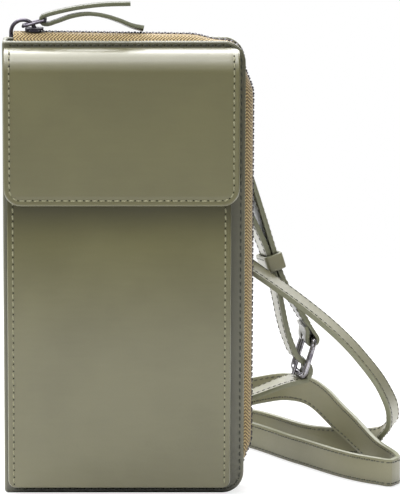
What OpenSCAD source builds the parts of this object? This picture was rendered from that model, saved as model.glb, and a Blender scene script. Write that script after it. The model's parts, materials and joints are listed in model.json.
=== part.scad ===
// A slim leather wallet that a zip closes round three sides, with a flapped phone pocket on its
// front and a narrow buckled shoulder strap. It stands upright, +Z up, the pocket facing -Y.
// The origin is the middle of the body's footprint, on the surface it stands on.

/* [Covers] */
// Height of the covers
cover_h = 190; // [180:1:205]
// Width of a cover, from the spine's outer face to its free edge
cover_w = 100; // [94:1:106]
// Thickness of the cover leather
cover_t = 2; // [1.6:0.1:2.4]
// Radius of the covers' free corners
cover_r = 9; // [8:0.5:11]
// Depth across the two closed covers
wallet_d = 18; // [16:0.5:22]
// Running gap at each fold of the spine
fold_gap = 0.3; // [0.2:0.05:0.4]

/* [Linings] */
// Thickness of the fabric linings
lining_t = 0.8; // [0.6:0.1:1]
// Gap between a lining's edge and the zip tape beside it
lining_gap = 0.4; // [0.3:0.1:1]
// Number of card slots in the back cover
card_slots = 4; // [2:1:5]
// Thickness of each card slot's leather
card_t = 0.7; // [0.5:0.1:0.9]
// Gap between the sides of the card slots and the lining's edges
card_side = 5; // [4:0.5:7]
// Height of the hindmost card slot
card_h = 150; // [140:1:160]
// How much lower each further card slot ends
card_step = 22; // [16:1:26]
// Height of the lowest card slot's foot above the covers' lower edge
card_foot = 14; // [12:1:18]
// Height of the slip pocket in the front cover
slip_h = 105; // [90:1:140]

/* [Zip] */
// How far the teeth stand out past the covers' free edge
zip_side = 3; // [2.4:0.1:3.4]
// How far the teeth stand above the covers at the slider's end
zip_left = 2.8; // [2.4:0.1:3.2]
// How far the teeth stand above the covers at the far end of the top run
zip_right = 1.5; // [1.2:0.1:1.8]
// How far the zip is drawn in at the corners
zip_corner = 0.8; // [0.6:0.1:1]
// How far the zip is drawn in along the bottom
zip_foot = 1.2; // [1.1:0.1:1.5]
// Gap between the spine's outer face and the ends of the tapes
zip_start = 4.5; // [4:0.1:5.5]
// Thickness of the woven tape
tape_t = 0.6; // [0.5:0.05:0.7]
// Distance of the sewn band of the tape from the covers' edge
sew_inset = 3; // [2.6:0.1:3.4]
// Width of the sewn band of the tape
sew_w = 4; // [3:0.1:4.4]
// Pitch of the teeth of one row
tooth_pitch = 2.5; // [2.4:0.05:2.8]
// Length of a tooth along its row
tooth_l = 0.9; // [0.8:0.05:0.95]
// Height of a tooth, from its outer face to its inner face
tooth_h = 1.8; // [1.6:0.1:1.9]
// Half of the gap between the two tapes, where the teeth are clamped on
tooth_root = 1.3; // [1.2:0.05:1.4]
// How far a tooth reaches past the middle, between two teeth of the other row
tooth_reach = 0.9; // [0.7:0.05:0.95]
// Size of the chamfers on a tooth's corners
tooth_chamfer = 0.25; // [0.15:0.05:0.3]
// Length of a stop at the lower end of each row
stop_l = 3; // [2:0.1:4]

/* [Slider] */
// Distance of the bridge's middle from the spine's outer face
slider_x = 8.5; // [8.3:0.1:9]
// Radius of the bridge's bend, to the middle of its bar
bridge_r = 5; // [4.8:0.1:5.2]
// Diameter of the bridge's bar
bridge_d = 1.6; // [1.4:0.1:1.7]
// Length of the slider's upper plate
plate_l = 7.5; // [7:0.1:8.5]
// Width of the slider's upper plate
plate_w = 8; // [7.6:0.1:8.6]
// Width of the slider's lower plate
plate_low_w = 6; // [5.6:0.1:6.2]
// Thickness of the slider's plates
plate_t = 0.8; // [0.7:0.05:0.9]
// Gap between a plate and the teeth that run past it
plate_gap = 0.2; // [0.15:0.05:0.25]
// Radius of the plates' corners
plate_r = 1.8; // [1.2:0.1:2.4]
// Width of the slider's wedge between the two tapes
wedge_w = 1.6; // [1.4:0.1:1.7]
// Length of the slider's wedge
wedge_l = 1.6; // [1.2:0.1:2]
// Depth of the lips along the upper plate
lip_h = 0.5; // [0.4:0.05:0.6]
// Thickness of the lips
lip_t = 0.6; // [0.5:0.05:0.7]

/* [Puller] */
// Length of the link, between the middles of its two end bars
link_l = 9.4; // [9:0.1:10]
// Width of the link
link_w = 8.4; // [8.2:0.1:9]
// Thickness of the link's bars
link_t = 1.2; // [1:0.1:1.3]
// Slope of the link at rest, in degrees
link_rise = 16; // [14:1:18]
// Width of the leather thong
thong_w = 5.4; // [4.8:0.1:5.5]
// Thickness of the leather thong
thong_t = 1.7; // [1.5:0.1:1.8]
// Gap round the link's far bar inside the thong's fold
thong_gap = 0.3; // [0.25:0.05:0.4]

/* [Phone pocket] */
// Depth of the pocket, from the front cover to the pocket's outer face
pocket_d = 11; // [10:0.5:14]
// Width of the pocket
pocket_w = 92; // [86:1:94]
// Gap between the spine's outer face and the pocket's edge
pocket_x = 2; // [1.5:0.5:3]
// Height of the pocket's foot above the covers' lower edge
pocket_foot = 4.8; // [3:0.1:6]
// Height of the pocket's front
pocket_h = 155; // [145:1:165]
// Radius of the pocket's lower corners
pocket_r = 3; // [2.5:0.5:9]
// Thickness of the pocket's front leather
panel_t = 1.4; // [1.2:0.1:1.8]
// Thickness of the thin linings of the pocket and flap
thin_t = 0.6; // [0.5:0.05:0.8]
// Thickness of the pocket's side walls
gusset_t = 1.5; // [1.2:0.1:2]

/* [Flap] */
// Height of the flap's lower edge above the covers' lower edge
flap_foot = 123.5; // [110:0.5:135]
// Width of the flap
flap_w = 96.5; // [92:0.5:98]
// Gap between the spine's outer face and the flap's edge
flap_x = 0.8; // [0.5:0.1:1.5]
// Thickness of the flap's leather
flap_t = 1.4; // [1.2:0.1:1.6]
// Radius of the flap's lower corners
flap_r = 7; // [5:0.5:9]
// Height of the flap's fold, from its sewn line to where it hangs straight
flap_drop = 6.5; // [5.5:0.5:8]
// Depth of the flap's sewn line below the covers' upper edge
flap_top = 3.6; // [3.4:0.1:4.5]
// Height of the flap's sewn root
root_h = 9; // [7:0.5:12]
// Gap between the flap and the pocket
flap_gap = 0.4; // [0.3:0.05:0.5]
// Diameter of the two hidden magnets
magnet_d = 12; // [10:0.5:14]
// Thickness of the magnets
magnet_t = 0.7; // [0.6:0.05:0.8]
// Height of the magnets above the flap's lower edge
magnet_z = 16; // [13:0.5:20]

/* [Strap] */
// Width of the strap
strap_w = 12; // [11:0.5:13]
// Thickness of the strap
strap_t = 2.2; // [2:0.1:2.3]
// Rounding of the strap's edges
strap_round = 0.5; // [0.3:0.05:0.6]
// Thickness of the folded strap ends
fold_t = 1.6; // [1.4:0.05:1.65]
// Gap between a bar and the leather folded round it
bar_gap = 0.25; // [0.2:0.05:0.3]
// Inner length of the keeper, along the strap's width
keeper_in_w = 13; // [12.8:0.1:14.4]
// Inner depth of the keeper, round two straps
keeper_in_t = 5.6; // [5.4:0.1:6.4]
// Thickness of the keeper's leather
keeper_t = 1.3; // [1.1:0.1:1.6]
// Height of the keeper, along the strap
keeper_h = 7; // [6:0.5:8]
// Diameter of the buckle's bars
buckle_d = 2.4; // [2.2:0.1:2.5]
// Length of the buckle, between the middles of its two cross bars
buckle_l = 16; // [15.5:0.5:17]
// Inner width of the buckle
buckle_in_w = 13.6; // [13.4:0.1:15]
// Radius of the buckle's corners, to the middle of its bar
buckle_r = 2.6; // [2.4:0.1:3]
// Diameter of the prong
prong_d = 1.5; // [1.3:0.1:1.7]
// Gap between the prong and the hole in the strap
prong_gap = 0.4; // [0.3:0.05:0.5]

/* [Strap rings] */
// Diameter of the rings' bar
ring_d = 2.2; // [2:0.1:2.4]
// Inner width of the rings
ring_in_w = 13.4; // [13.2:0.1:14.5]
// Distance of a ring's lower bar below its upper bar, between their middles
ring_drop = 7.8; // [7.6:0.1:8.6]
// Radius of the rings' corners, to the middle of their bar
ring_r = 1.8; // [1.6:0.05:1.8]
// Height of the rings' upper bars above the covers' lower edge
ring_z = 171; // [165:1:176]
// Distance of the rings' middles from the covers' side edges
ring_inset = 10; // [10:0.5:14]
// Width of the leather tabs that hold the rings
tab_w = 12; // [11:0.5:13]
// Thickness of the tabs' leather
tab_t = 1.8; // [1.7:0.05:2]
// Length of the tabs' sewn part above the ring
tab_l = 13; // [11:0.5:14]

/* [Hidden] */
$fn = 48;
cut = 1;                                    // overrun of the cutting shapes
olive = [0.47, 0.45, 0.34];
olive_dark = [0.40, 0.38, 0.29];
tan_tape = [0.72, 0.62, 0.42];
gunmetal = [0.25, 0.24, 0.27];
beige = [0.66, 0.62, 0.52];

// Main places. The zip's parting plane is the middle of the two covers.
flap_all_t = flap_t + thin_t;
tab_in_r = ring_d / 2 + bar_gap;
tab_out_r = tab_in_r + tab_t;
body_w = cover_w + zip_side + tooth_h / 2;
body_d = wallet_d + pocket_d + flap_gap + flap_all_t;
x_spine = -body_w / 2;
x_free = x_spine + cover_w;
x_fold = x_spine + cover_t / 2;
y_back = body_d / 2 - tab_out_r;
y_mid = y_back - wallet_d / 2;
y_front = y_mid - wallet_d / 2;
y_fold_back = y_back - cover_t / 2;
y_fold_front = y_front + cover_t / 2;
y_pocket = y_front - pocket_d;

// Zip runs, as lengths along the covers' edge: top, corner, free edge, corner, bottom.
x_tape = x_spine + zip_start;
x_turn = x_free - cover_r;
run_top = x_turn - x_tape;
arc_line_r = cover_r - zip_corner;
run_arc = arc_line_r * PI / 2;
run_side = cover_h - 2 * cover_r;
end_arc_1 = run_top + run_arc;
end_side = end_arc_1 + run_side;
end_arc_2 = end_side + run_arc;
run_all = end_arc_2 + run_top;
zip_slope = atan((zip_left - zip_right) / run_top);
sewn_v = wallet_d / 2 - cover_t - tape_t / 2;

// Slider places.
x_slider = x_spine + slider_x;
slider_from_tape = x_slider - x_tape;
z_slider = cover_h + zip_left - slider_from_tape * tan(zip_slope);
plate_z = tooth_h / 2 + plate_gap;
bridge_end = asin((plate_z + plate_t / 2) / bridge_r);
plate_x = link_t / 2 + plate_gap;
first_tooth = slider_from_tape + plate_x + wedge_l + tooth_l;
last_tooth = run_all - stop_l - tooth_pitch;
teeth_n = floor((last_tooth - first_tooth) / tooth_pitch);
link_pivot_z = plate_z + plate_t + plate_gap + link_t / 2;

// Flap places.
flap_axis_y = y_front - fold_gap - flap_all_t / 2;
flap_axis_z = cover_h - flap_top;
flap_front_y = y_pocket - flap_gap - flap_all_t / 2;
flap_reach = flap_axis_y - flap_front_y;
flap_bend_z = flap_axis_z - flap_drop;
panel_top_z = flap_bend_z - flap_all_t / 2 - fold_gap;
flap_x0 = x_spine + flap_x;
flap_mid_x = flap_x0 + flap_w / 2;

// Strap ring places. A strap hangs in line with the outer leg of its folded end.
ring_x = cover_w / 2 - ring_inset;
ring_y = y_back + tab_out_r;
x_mid = x_spine + cover_w / 2;
strap_in_r = ring_d / 2 + bar_gap;
strap_leg = 7;
function ring_end(side, below) = [x_mid + side * ring_x, ring_y + strap_in_r + fold_t / 2,
                                  ring_z - ring_drop - strap_leg - below];

// The keeper and the buckle: where they sit, and how they are turned.
keeper_at = [60.5, 34.7, 91.6];
keeper_turn = [0, -17.5, 0];
keeper_yaw = 104;
buckle_at = [77.2, 38.5, 58];
buckle_tilt = 16.6;
buckle_yaw = 105;
buckle_fold_turn = -50;
buckle_in_r = buckle_d / 2 + bar_gap;
buckle_x = [cos(buckle_yaw) * cos(buckle_tilt), sin(buckle_yaw), -cos(buckle_yaw) * sin(buckle_tilt)];
buckle_z = [sin(buckle_tilt), 0, cos(buckle_tilt)];
buckle_y = cross(buckle_z, buckle_x);
fold_out = buckle_y * cos(buckle_fold_turn) + buckle_z * sin(buckle_fold_turn);
fold_up = buckle_z * cos(buckle_fold_turn) - buckle_y * sin(buckle_fold_turn);
function buckle_end(above) = buckle_at - fold_out * (buckle_in_r + fold_t / 2)
                             + fold_up * (strap_leg + above);

// The strap's route. Each line is the middle of the strap there, and the way its width points.
// The short strap runs from the right ring to the buckle. Its ends run straight for a stretch.
straight = 2.5;
short_route = [
    [ring_end(1, 0), [-1, 0, 0]],
    [ring_end(1, straight), [-1, 0, 0]],
    [[39.8, 22.5, 147], [-0.95, 0.3, 0]],
    [[44, 27.5, 138], [-0.75, 0.65, -0.05]],
    [[49.6, 31.2, 127], [-0.45, 0.88, -0.1]],
    [[55, 33.6, 113], [-0.28, 0.95, -0.1]],
    [[59.7, 35, 98.7], [-0.23, 0.97, -0.07]],
    [[63.9, 35, 85.3], [-0.23, 0.97, -0.07]],
    [[69.5, 36.1, 75.2], [-0.24, 0.97, 0]],
    [buckle_end(straight), buckle_x],
    [buckle_end(0), buckle_x]
];
// The long strap runs from its tail through the keeper and the buckle, lies in two bends behind
// the body and one beside it, and climbs back to the left ring.
long_route = [
    [[46, 31, 120.5], [-0.27, 0.96, -0.05]],
    [[57.1, 34.4, 97.9], [-0.23, 0.97, -0.07]],
    [[61.3, 34.4, 84.5], [-0.23, 0.97, -0.07]],
    [[68.5, 36.4, 55.9], [-0.25, 0.966, 0.07]],
    [[72.5, 38, 49.2], [-0.25, 0.966, 0.07]],
    [[75.9, 39.1, 46.4], [-0.25, 0.966, 0.07]],
    [[76.4, 39.4, 43.1], [-0.25, 0.966, 0.07]],
    [[74.3, 39.1, 40.1], [-0.25, 0.966, 0.07]],
    [[71.1, 38.3, 39.6], [-0.2, 0.97, 0.07]],
    [[53.5, 42, 32.3], [0, 1, 0.05]],
    [[2, 45, 14], [0, 0.2, 0.98]],
    [[-42, 50, 7], [0, 0, 1]],
    [[-42, 65, 7], [0, 0, 1]],
    [[-25, 73, 8], [0, 0, 1]],
    [[33.5, 79.4, 19.5], [0, 0.1, 1]],
    [[58, 80.5, 26], [0, 0.2, 1]],
    [[77, 72, 28], [0.05, 0.25, 1]],
    [[93, 53, 18], [0.1, 0.15, 1]],
    [[106.5, 29.4, 8.8], [0, 0, 1]],
    [[113.5, 15, 6.4], [0, 0, 1]],
    [[112, 7.5, 6.3], [0, 0, 1]],
    [[105, 8, 6.3], [0, 0, 1]],
    [[74, 45.9, 6.3], [0, 0, 1]],
    [[51.5, 80.9, 6.3], [0, 0, 1]],
    [[34, 94.5, 6.3], [0, 0, 1]],
    [[-8.5, 98.4, 6.3], [0, 0, 1]],
    [[-16, 106, 6.3], [0, 0, 1]],
    [[-8.5, 113.5, 6.3], [0, 0, 1]],
    [[38, 113, 6.3], [0, 0, 1]],
    [[57, 102.5, 6.3], [0, 0, 1]],
    [[84.5, 68.4, 6.3], [0, 0, 1]],
    [[104, 47.9, 10.5], [0.2, 0.6, 0.75]],
    [[110, 38.4, 17], [0.35, 0.85, 0.35]],
    [[112.5, 30.4, 27.5], [0.35, 0.93, 0.12]],
    [[98, 21.6, 53], [0.22, 0.96, 0.14]],
    [[53.5, 20, 90.5], [0.2, 0.96, 0.15]],
    [[5.5, 21.4, 119], [0.35, 0.88, 0.3]],
    [[-34, 22.5, 138.5], [0.75, 0.5, 0.4]],
    [ring_end(-1, straight), [1, 0, 0]],
    [ring_end(-1, 0), [1, 0, 0]]
];
bend_limit = 20;
curve_share = 1 / 16;

function mix(a, b, t) = a + (b - a) * t;
function ease(t) = (1 - cos(180 * t)) / 2;
function unit(v) = v / norm(v);

// How far the zip stands out past the covers' edge on a corner, at a share of its turn
function corner_bulge(from, to, t) =
    t < 0.5 ? mix(from, -zip_corner, ease(2 * t)) : mix(-zip_corner, to, ease(2 * t - 1));

// A place on the covers' edge: [x, z, outward x, outward z, how far the zip stands out]
function top_edge(t) = [mix(x_tape, x_turn, t), cover_h, 0, 1, mix(zip_left, zip_right, t)];
function corner_edge(z, turn, from, to, t) =
    [x_turn + cover_r * cos(turn - 90 * t), z + cover_r * sin(turn - 90 * t),
     cos(turn - 90 * t), sin(turn - 90 * t), corner_bulge(from, to, t)];
function side_edge(t) = [x_free, mix(cover_h - cover_r, cover_r, t), 1, 0, zip_side];
function foot_edge(t) = [mix(x_turn, x_tape, t), 0, 0, -1, -zip_foot];
function upper_corner(t) = corner_edge(cover_h - cover_r, 90, zip_right, zip_side, t);
function lower_corner(t) = corner_edge(cover_r, 0, zip_side, -zip_foot, t);
function edge_at(s) =
    s < run_top ? top_edge(s / run_top)
    : s < end_arc_1 ? upper_corner((s - run_top) / run_arc)
    : s < end_side ? side_edge((s - end_arc_1) / run_side)
    : s < end_arc_2 ? lower_corner((s - end_side) / run_arc)
    : foot_edge((s - end_arc_2) / run_top);

// Outline with its own radius at the lower left, lower right, upper right and upper left corners
module outline(x0, z0, x1, z1, radii) {
    lower_left = radii[0];
    lower_right = radii[1];
    upper_right = radii[2];
    upper_left = radii[3];
    difference() {
        translate([x0, z0]) square([x1 - x0, z1 - z0]);
        corner_cut([x0, z0], [1, 1], lower_left);
        corner_cut([x1, z0], [-1, 1], lower_right);
        corner_cut([x1, z1], [-1, -1], upper_right);
        corner_cut([x0, z1], [1, -1], upper_left);
    }
}

// What a round corner leaves of a square one
module corner_cut(at, inward, r) {
    if (r > 0)
        difference() {
            translate([at[0] + min(inward[0], 0) * r, at[1] + min(inward[1], 0) * r]) square(r);
            translate([at[0] + inward[0] * r, at[1] + inward[1] * r]) circle(r);
        }
}

// Stands an outline drawn in X and Z upright, from y0 back to y0 + depth
module slab(y0, depth) {
    translate([0, y0 + depth, 0]) rotate([90, 0, 0]) linear_extrude(depth) children();
}

// One cover: a leather plate with a round fold along the spine
module cover(y0, y_fold) {
    slab(y0, cover_t) outline(x_fold, 0, x_free, cover_h, [0, cover_r, cover_r, 0]);
    translate([x_fold, y_fold, 0]) cylinder(h = cover_h, d = cover_t);
}

module back_cover() {
    color(olive) cover(y_back - cover_t, y_fold_back);
}

module front_cover() {
    color(olive) cover(y_front, y_fold_front);
}

module spine() {
    y0 = y_fold_front + cover_t / 2 + fold_gap;
    y1 = y_fold_back - cover_t / 2 - fold_gap;
    color(olive) translate([x_spine, y0, 0]) cube([cover_t, y1 - y0, cover_h]);
}

// One lining, inside the sewn band of the zip tape
lining_in = sew_inset + sew_w + lining_gap;
lining_x0 = x_tape;
lining_x1 = x_free - lining_in;
card_x = lining_x0 + card_side;
card_w = lining_x1 - lining_x0 - 2 * card_side;
module lining(y0) {
    r = cover_r - lining_in;
    color(beige) slab(y0, lining_t)
        outline(lining_x0, lining_in, lining_x1, cover_h - lining_in, [0, r, r, 0]);
}

module back_lining() lining(y_back - cover_t - lining_t);
module front_lining() lining(y_front + cover_t);

// Card slots, each one shorter and nearer the middle than the one behind it
module card_panel() {
    y0 = y_back - cover_t - lining_t;
    color(olive_dark)
        for (i = [0 : card_slots - 1])
            translate([card_x, y0 - (i + 1) * card_t, card_foot])
                cube([card_w, card_t, card_h - i * card_step]);
}

module slip_pocket() {
    color(olive_dark) translate([card_x, y_front + cover_t + lining_t, card_foot])
        cube([card_w, card_t, slip_h]);
}

// Points of the tape's section: along the sewn band, then round to the teeth, and back inside
bend_n = 4;
function tape_mid(out) = concat(
    [[-sew_inset - sew_w, sewn_v, 0, 1], [-sew_inset, sewn_v, 0, 1]],
    [for (i = [1 : bend_n]) let (
        a = 90 * i / bend_n,
        du = out + sew_inset,
        dv = sewn_v - tooth_root,
        n = unit([dv * sin(a), du * cos(a)]))
        [-sew_inset + du * sin(a), tooth_root + dv * cos(a), n[0], n[1]]]);
function tape_section(out) = let (m = tape_mid(out), k = len(m)) concat(
    [for (p = m) [p[0] + p[2] * tape_t / 2, p[1] + p[3] * tape_t / 2]],
    [for (i = [k - 1 : -1 : 0]) [m[i][0] - m[i][2] * tape_t / 2, m[i][1] - m[i][3] * tape_t / 2]]);
function tape_ring(edge, side) = [for (q = tape_section(edge[4]))
    [edge[0] + edge[2] * q[0], y_mid + side * q[1], edge[1] + edge[3] * q[0]]];

// Skin of a sweep: rings of k points joined by triangles, with flat ends
function skin(n, k) = concat(
    [[for (i = [k - 1 : -1 : 0]) i]],
    [for (r = [0 : n - 2]) for (i = [0 : k - 1]) let (j = (i + 1) % k)
        each [[r * k + i, r * k + j, (r + 1) * k + j], [r * k + i, (r + 1) * k + j, (r + 1) * k + i]]],
    [[for (i = [0 : k - 1]) (n - 1) * k + i]]);
function turned(faces) = [for (f = faces) [for (i = [len(f) - 1 : -1 : 0]) f[i]]];

corner_n = 6;
zip_edges = concat(
    [top_edge(0)],
    [for (i = [0 : corner_n]) upper_corner(i / corner_n)],
    [for (i = [0 : corner_n]) lower_corner(i / corner_n)],
    [foot_edge(1)]);

// Half of the zip's tape, sewn inside one cover and domed out to the teeth
module zip_tape(side) {
    rings = [for (e = zip_edges) tape_ring(e, side)];
    k = len(rings[0]);
    faces = skin(len(rings), k);
    color(tan_tape)
        polyhedron([for (r = rings) each r], side > 0 ? faces : turned(faces), convexity = 8);
}

module back_zip_tape() zip_tape(1);
module front_zip_tape() zip_tape(-1);

// One tooth's outline in X and Z, at a length s along the zip
module tooth(s, length) {
    e = edge_at(s);
    mid = [e[0] + e[2] * e[4], e[1] + e[3] * e[4]];
    along = [e[3], -e[2]];
    out = [e[2], e[3]];
    a = length / 2;
    h = tooth_h / 2;
    c = tooth_chamfer;
    corners = [[-a, -h + c], [-a, h - c], [-a + c, h], [a - c, h],
               [a, h - c], [a, -h + c], [a - c, -h], [-a + c, -h]];
    polygon([for (q = corners) mid + along * q[0] + out * q[1]]);
}

// A row of teeth. The two rows stand half a pitch apart and mesh across the parting plane.
module zip_teeth(side, shift) {
    y0 = side > 0 ? y_mid - tooth_reach : y_mid - tooth_root;
    color(gunmetal) {
        slab(y0, tooth_reach + tooth_root)
            for (i = [0 : teeth_n]) tooth(first_tooth + (i + shift) * tooth_pitch, tooth_l);
        slab(side > 0 ? y_mid + plate_gap : y_mid - tooth_root, tooth_root - plate_gap)
            tooth(run_all - stop_l / 2, stop_l);
    }
}

module back_zip_teeth() zip_teeth(1, 0);
module front_zip_teeth() zip_teeth(-1, 0.5);

// Moves a shape from the slider's own frame, with its X along the zip, to its place at rest
module on_zip() {
    translate([x_slider, y_mid, z_slider]) rotate([0, zip_slope, 0]) children();
}

// A plate of the slider, from x0 on, centred on the zip
module slider_plate(x0, length, width, z0) {
    translate([0, 0, z0]) linear_extrude(plate_t)
        outline(x0, -width / 2, x0 + length, width / 2, [plate_r, plate_r, plate_r, plate_r]);
}

// The slider is one casting: two plates, the wedge between them and the bridge over the top
module zip_slider() {
    low_z = -plate_z - plate_t;
    low_x = -bridge_r - bridge_d / 2;
    color(gunmetal) on_zip() union() {
        slider_plate(plate_x, plate_l, plate_w, plate_z);
        slider_plate(low_x, plate_x + plate_l - low_x, plate_low_w, low_z);
        translate([plate_x, -wedge_w / 2, low_z]) cube([wedge_l, wedge_w, plate_z - low_z + plate_t]);
        for (side = [-1, 1])
            translate([plate_x + plate_r, side * (plate_w - lip_t) / 2 - lip_t / 2, plate_z - lip_h])
                cube([plate_l - 2 * plate_r, lip_t, lip_h + plate_t / 2]);
        translate([-bridge_r, 0, low_z + plate_t / 2])
            cylinder(h = -low_z - plate_t / 2, d = bridge_d);
        rotate([90, 0, 0]) rotate_extrude(angle = 180 - bridge_end, start = bridge_end)
            translate([bridge_r, 0]) circle(d = bridge_d);
    }
}

// Moves a shape from the link's frame, with its near end bar at the origin, to its place at rest
module on_link() {
    on_zip() translate([0, 0, link_pivot_z]) rotate([0, -link_rise, 0]) children();
}

module puller_link() {
    r = link_w / 2 - link_t / 2;
    color(gunmetal) on_link() union() {
        for (x = [0, link_l])
            translate([x, link_w / 2, 0]) rotate([90, 0, 0]) cylinder(h = link_w, d = link_t);
        for (side = [-1, 1])
            translate([0, side * r, 0]) rotate([0, 90, 0]) cylinder(h = link_l, d = link_t);
    }
}

// The thong's middle line in the slider's X and Z, from the tip of its upper tail, round the
// link's far bar, to the tip of its lower tail
thong_r = link_t / 2 + thong_gap + thong_t / 2;
thong_bar = [link_l * cos(link_rise), link_pivot_z + link_l * sin(link_rise)];
thong_upper_share = [[3.72, 1.02], [2.45, 0.91], [1.38, 0.66], [0.59, 0.4]];
thong_lower_share = [[0.48, -0.06], [1.12, 0.17], [1.81, 0.28], [2.45, 0.23], [3.19, 0.02],
                     [3.83, -0.23], [4.31, -0.33]];
thong_fold_n = 6;
thong_line = concat(
    [for (p = thong_upper_share) thong_bar + p * link_l],
    [for (i = [0 : thong_fold_n]) let (a = 100 + 170 * i / thong_fold_n)
        thong_bar + thong_r * [cos(a), sin(a)]],
    [for (p = thong_lower_share) thong_bar + p * link_l]);

function line_normal(line, i) = let (
    n = len(line),
    d = unit(line[min(i + 1, n - 1)] - line[max(i - 1, 0)]))
    [-d[1], d[0]];

module puller_thong() {
    n = len(thong_line);
    above = [for (i = [0 : n - 1]) thong_line[i] + line_normal(thong_line, i) * thong_t / 2];
    below = [for (i = [n - 1 : -1 : 0]) thong_line[i] - line_normal(thong_line, i) * thong_t / 2];
    color(olive) on_zip() translate([0, thong_w / 2, 0]) rotate([90, 0, 0])
        linear_extrude(thong_w) polygon(concat(above, below));
}

// The pocket's place on the front cover
px0 = x_spine + pocket_x;
px1 = px0 + pocket_w;
pz0 = pocket_foot;
pz1 = pocket_foot + pocket_h;
panel_all_t = panel_t + thin_t;

module pocket_outline(inset) {
    r = max(pocket_r - inset, 0);
    outline(px0 + inset, pz0 + inset, px1 - inset, pz1, [r, r, 0, 0]);
}

// Side and bottom walls of the pocket, open at the top
module pocket_gusset() {
    r = pocket_r - gusset_t;
    color(olive) slab(y_pocket + panel_all_t, pocket_d - panel_all_t)
        difference() {
            pocket_outline(0);
            outline(px0 + gusset_t, pz0 + gusset_t, px1 - gusset_t, pz1 + cut, [r, r, 0, 0]);
        }
}

module pocket_back_lining() {
    color(beige) slab(y_front - thin_t, thin_t) pocket_outline(gusset_t);
}

// A hidden magnet lies in a recess on the inner side of the leather
module magnet(y0) {
    translate([flap_mid_x, y0, flap_foot + magnet_z]) rotate([90, 0, 0])
        cylinder(h = magnet_t, d = magnet_d);
}

module pocket_front() {
    color(olive) difference() {
        slab(y_pocket, panel_t) pocket_outline(0);
        translate([flap_mid_x, y_pocket + panel_t + cut, flap_foot + magnet_z]) rotate([90, 0, 0])
            cylinder(h = magnet_t + cut, d = magnet_d);
    }
}

module pocket_front_lining() {
    color(beige) slab(y_pocket + panel_t, thin_t) pocket_outline(0);
}

module pocket_magnet() {
    color(gunmetal) magnet(y_pocket + panel_t);
}

// The flap's sewn root, under its fold
module flap_root() {
    z1 = flap_axis_z - flap_all_t / 2 - fold_gap;
    color(olive) slab(y_front - flap_all_t, flap_all_t)
        outline(flap_x0, z1 - root_h, flap_x0 + flap_w, z1, [0, 0, 0, 0]);
}

// The fold's middle line in Y and Z, a quarter ellipse from the sewn line to the hanging panel
fold_n = 8;
fold_line = [for (i = [0 : fold_n]) let (a = 90 * i / fold_n)
    [flap_axis_y - flap_reach * sin(a), flap_bend_z + flap_drop * cos(a)]];
module flap_fold() {
    n = len(fold_line);
    h = flap_all_t / 2;
    normals = [for (i = [0 : n - 1]) let (a = 90 * i / fold_n)
        unit([-flap_drop * sin(a), flap_reach * cos(a)])];
    above = [for (i = [0 : n - 1]) fold_line[i] + normals[i] * h];
    below = [for (i = [n - 1 : -1 : 0]) fold_line[i] - normals[i] * h];
    color(olive) translate([flap_x0, 0, 0]) rotate([90, 0, 90]) union() {
        linear_extrude(flap_w) polygon(concat(above, below));
        translate([flap_axis_y, flap_axis_z]) cylinder(h = flap_w, d = flap_all_t);
        translate([flap_front_y, flap_bend_z]) cylinder(h = flap_w, d = flap_all_t);
    }
}

module flap_outline() {
    outline(flap_x0, flap_foot, flap_x0 + flap_w, panel_top_z, [flap_r, flap_r, 0, 0]);
}

module flap_panel() {
    y0 = flap_front_y - flap_all_t / 2;
    color(olive) difference() {
        slab(y0, flap_t) flap_outline();
        translate([flap_mid_x, y0 + flap_t + cut, flap_foot + magnet_z]) rotate([90, 0, 0])
            cylinder(h = magnet_t + cut, d = magnet_d);
    }
}

module flap_lining() {
    color(beige) slab(flap_front_y - flap_all_t / 2 + flap_t, thin_t) flap_outline();
}

module flap_magnet() {
    color(gunmetal) magnet(flap_front_y - flap_all_t / 2 + flap_t);
}

// A leather tab, doubled round the ring's upper bar and sewn to the back cover
module ring_tab(side) {
    color(olive) translate([x_mid + side * ring_x - tab_w / 2, ring_y, ring_z]) rotate([90, 0, 90])
        linear_extrude(tab_w) difference() {
            union() {
                circle(r = tab_out_r);
                translate([-tab_out_r, 0]) square([2 * tab_out_r, tab_l]);
            }
            circle(r = tab_in_r);
            translate([-tab_in_r, 0]) square([2 * tab_in_r, tab_l - tab_t]);
        }
}

module left_ring_tab() ring_tab(-1);
module right_ring_tab() ring_tab(1);

// A closed loop of round wire in X and Z, hanging down from its upper bar, with bent corners
module wire_loop(inner_w, drop, d, r) {
    half = (inner_w + d) / 2;
    for (z = [0, -drop])
        translate([r - half, 0, z]) rotate([0, 90, 0]) cylinder(h = 2 * (half - r), d = d);
    for (x = [-half, half])
        translate([x, 0, r - drop]) cylinder(h = drop - 2 * r, d = d);
    for (c = [[half - r, -r, 0], [r - half, -r, 90], [r - half, r - drop, 180], [half - r, r - drop, 270]])
        translate([c[0], 0, c[1]]) rotate([90, 0, 0])
            rotate_extrude(angle = 90, start = c[2]) translate([r, 0]) circle(d = d);
}

// A ring that joins a strap to its tab
module strap_ring(side) {
    color(gunmetal) translate([x_mid + side * ring_x, ring_y, ring_z])
        union() wire_loop(ring_in_w, ring_drop, ring_d, ring_r);
}

module left_strap_ring() strap_ring(-1);
module right_strap_ring() strap_ring(1);

// The end of a strap, doubled round the ring's lower bar
module strap_fold(side) {
    out_r = strap_in_r + fold_t;
    color(olive) translate([x_mid + side * ring_x - strap_w / 2, ring_y, ring_z - ring_drop])
        rotate([90, 0, 90]) linear_extrude(strap_w) difference() {
            union() {
                circle(r = out_r);
                translate([-out_r, -strap_leg]) square([2 * out_r, strap_leg]);
            }
            circle(r = strap_in_r);
            translate([-strap_in_r, -strap_leg + fold_t]) square([2 * strap_in_r, strap_leg - fold_t]);
        }
}

module left_strap_fold() strap_fold(-1);
module right_strap_fold() strap_fold(1);

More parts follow.
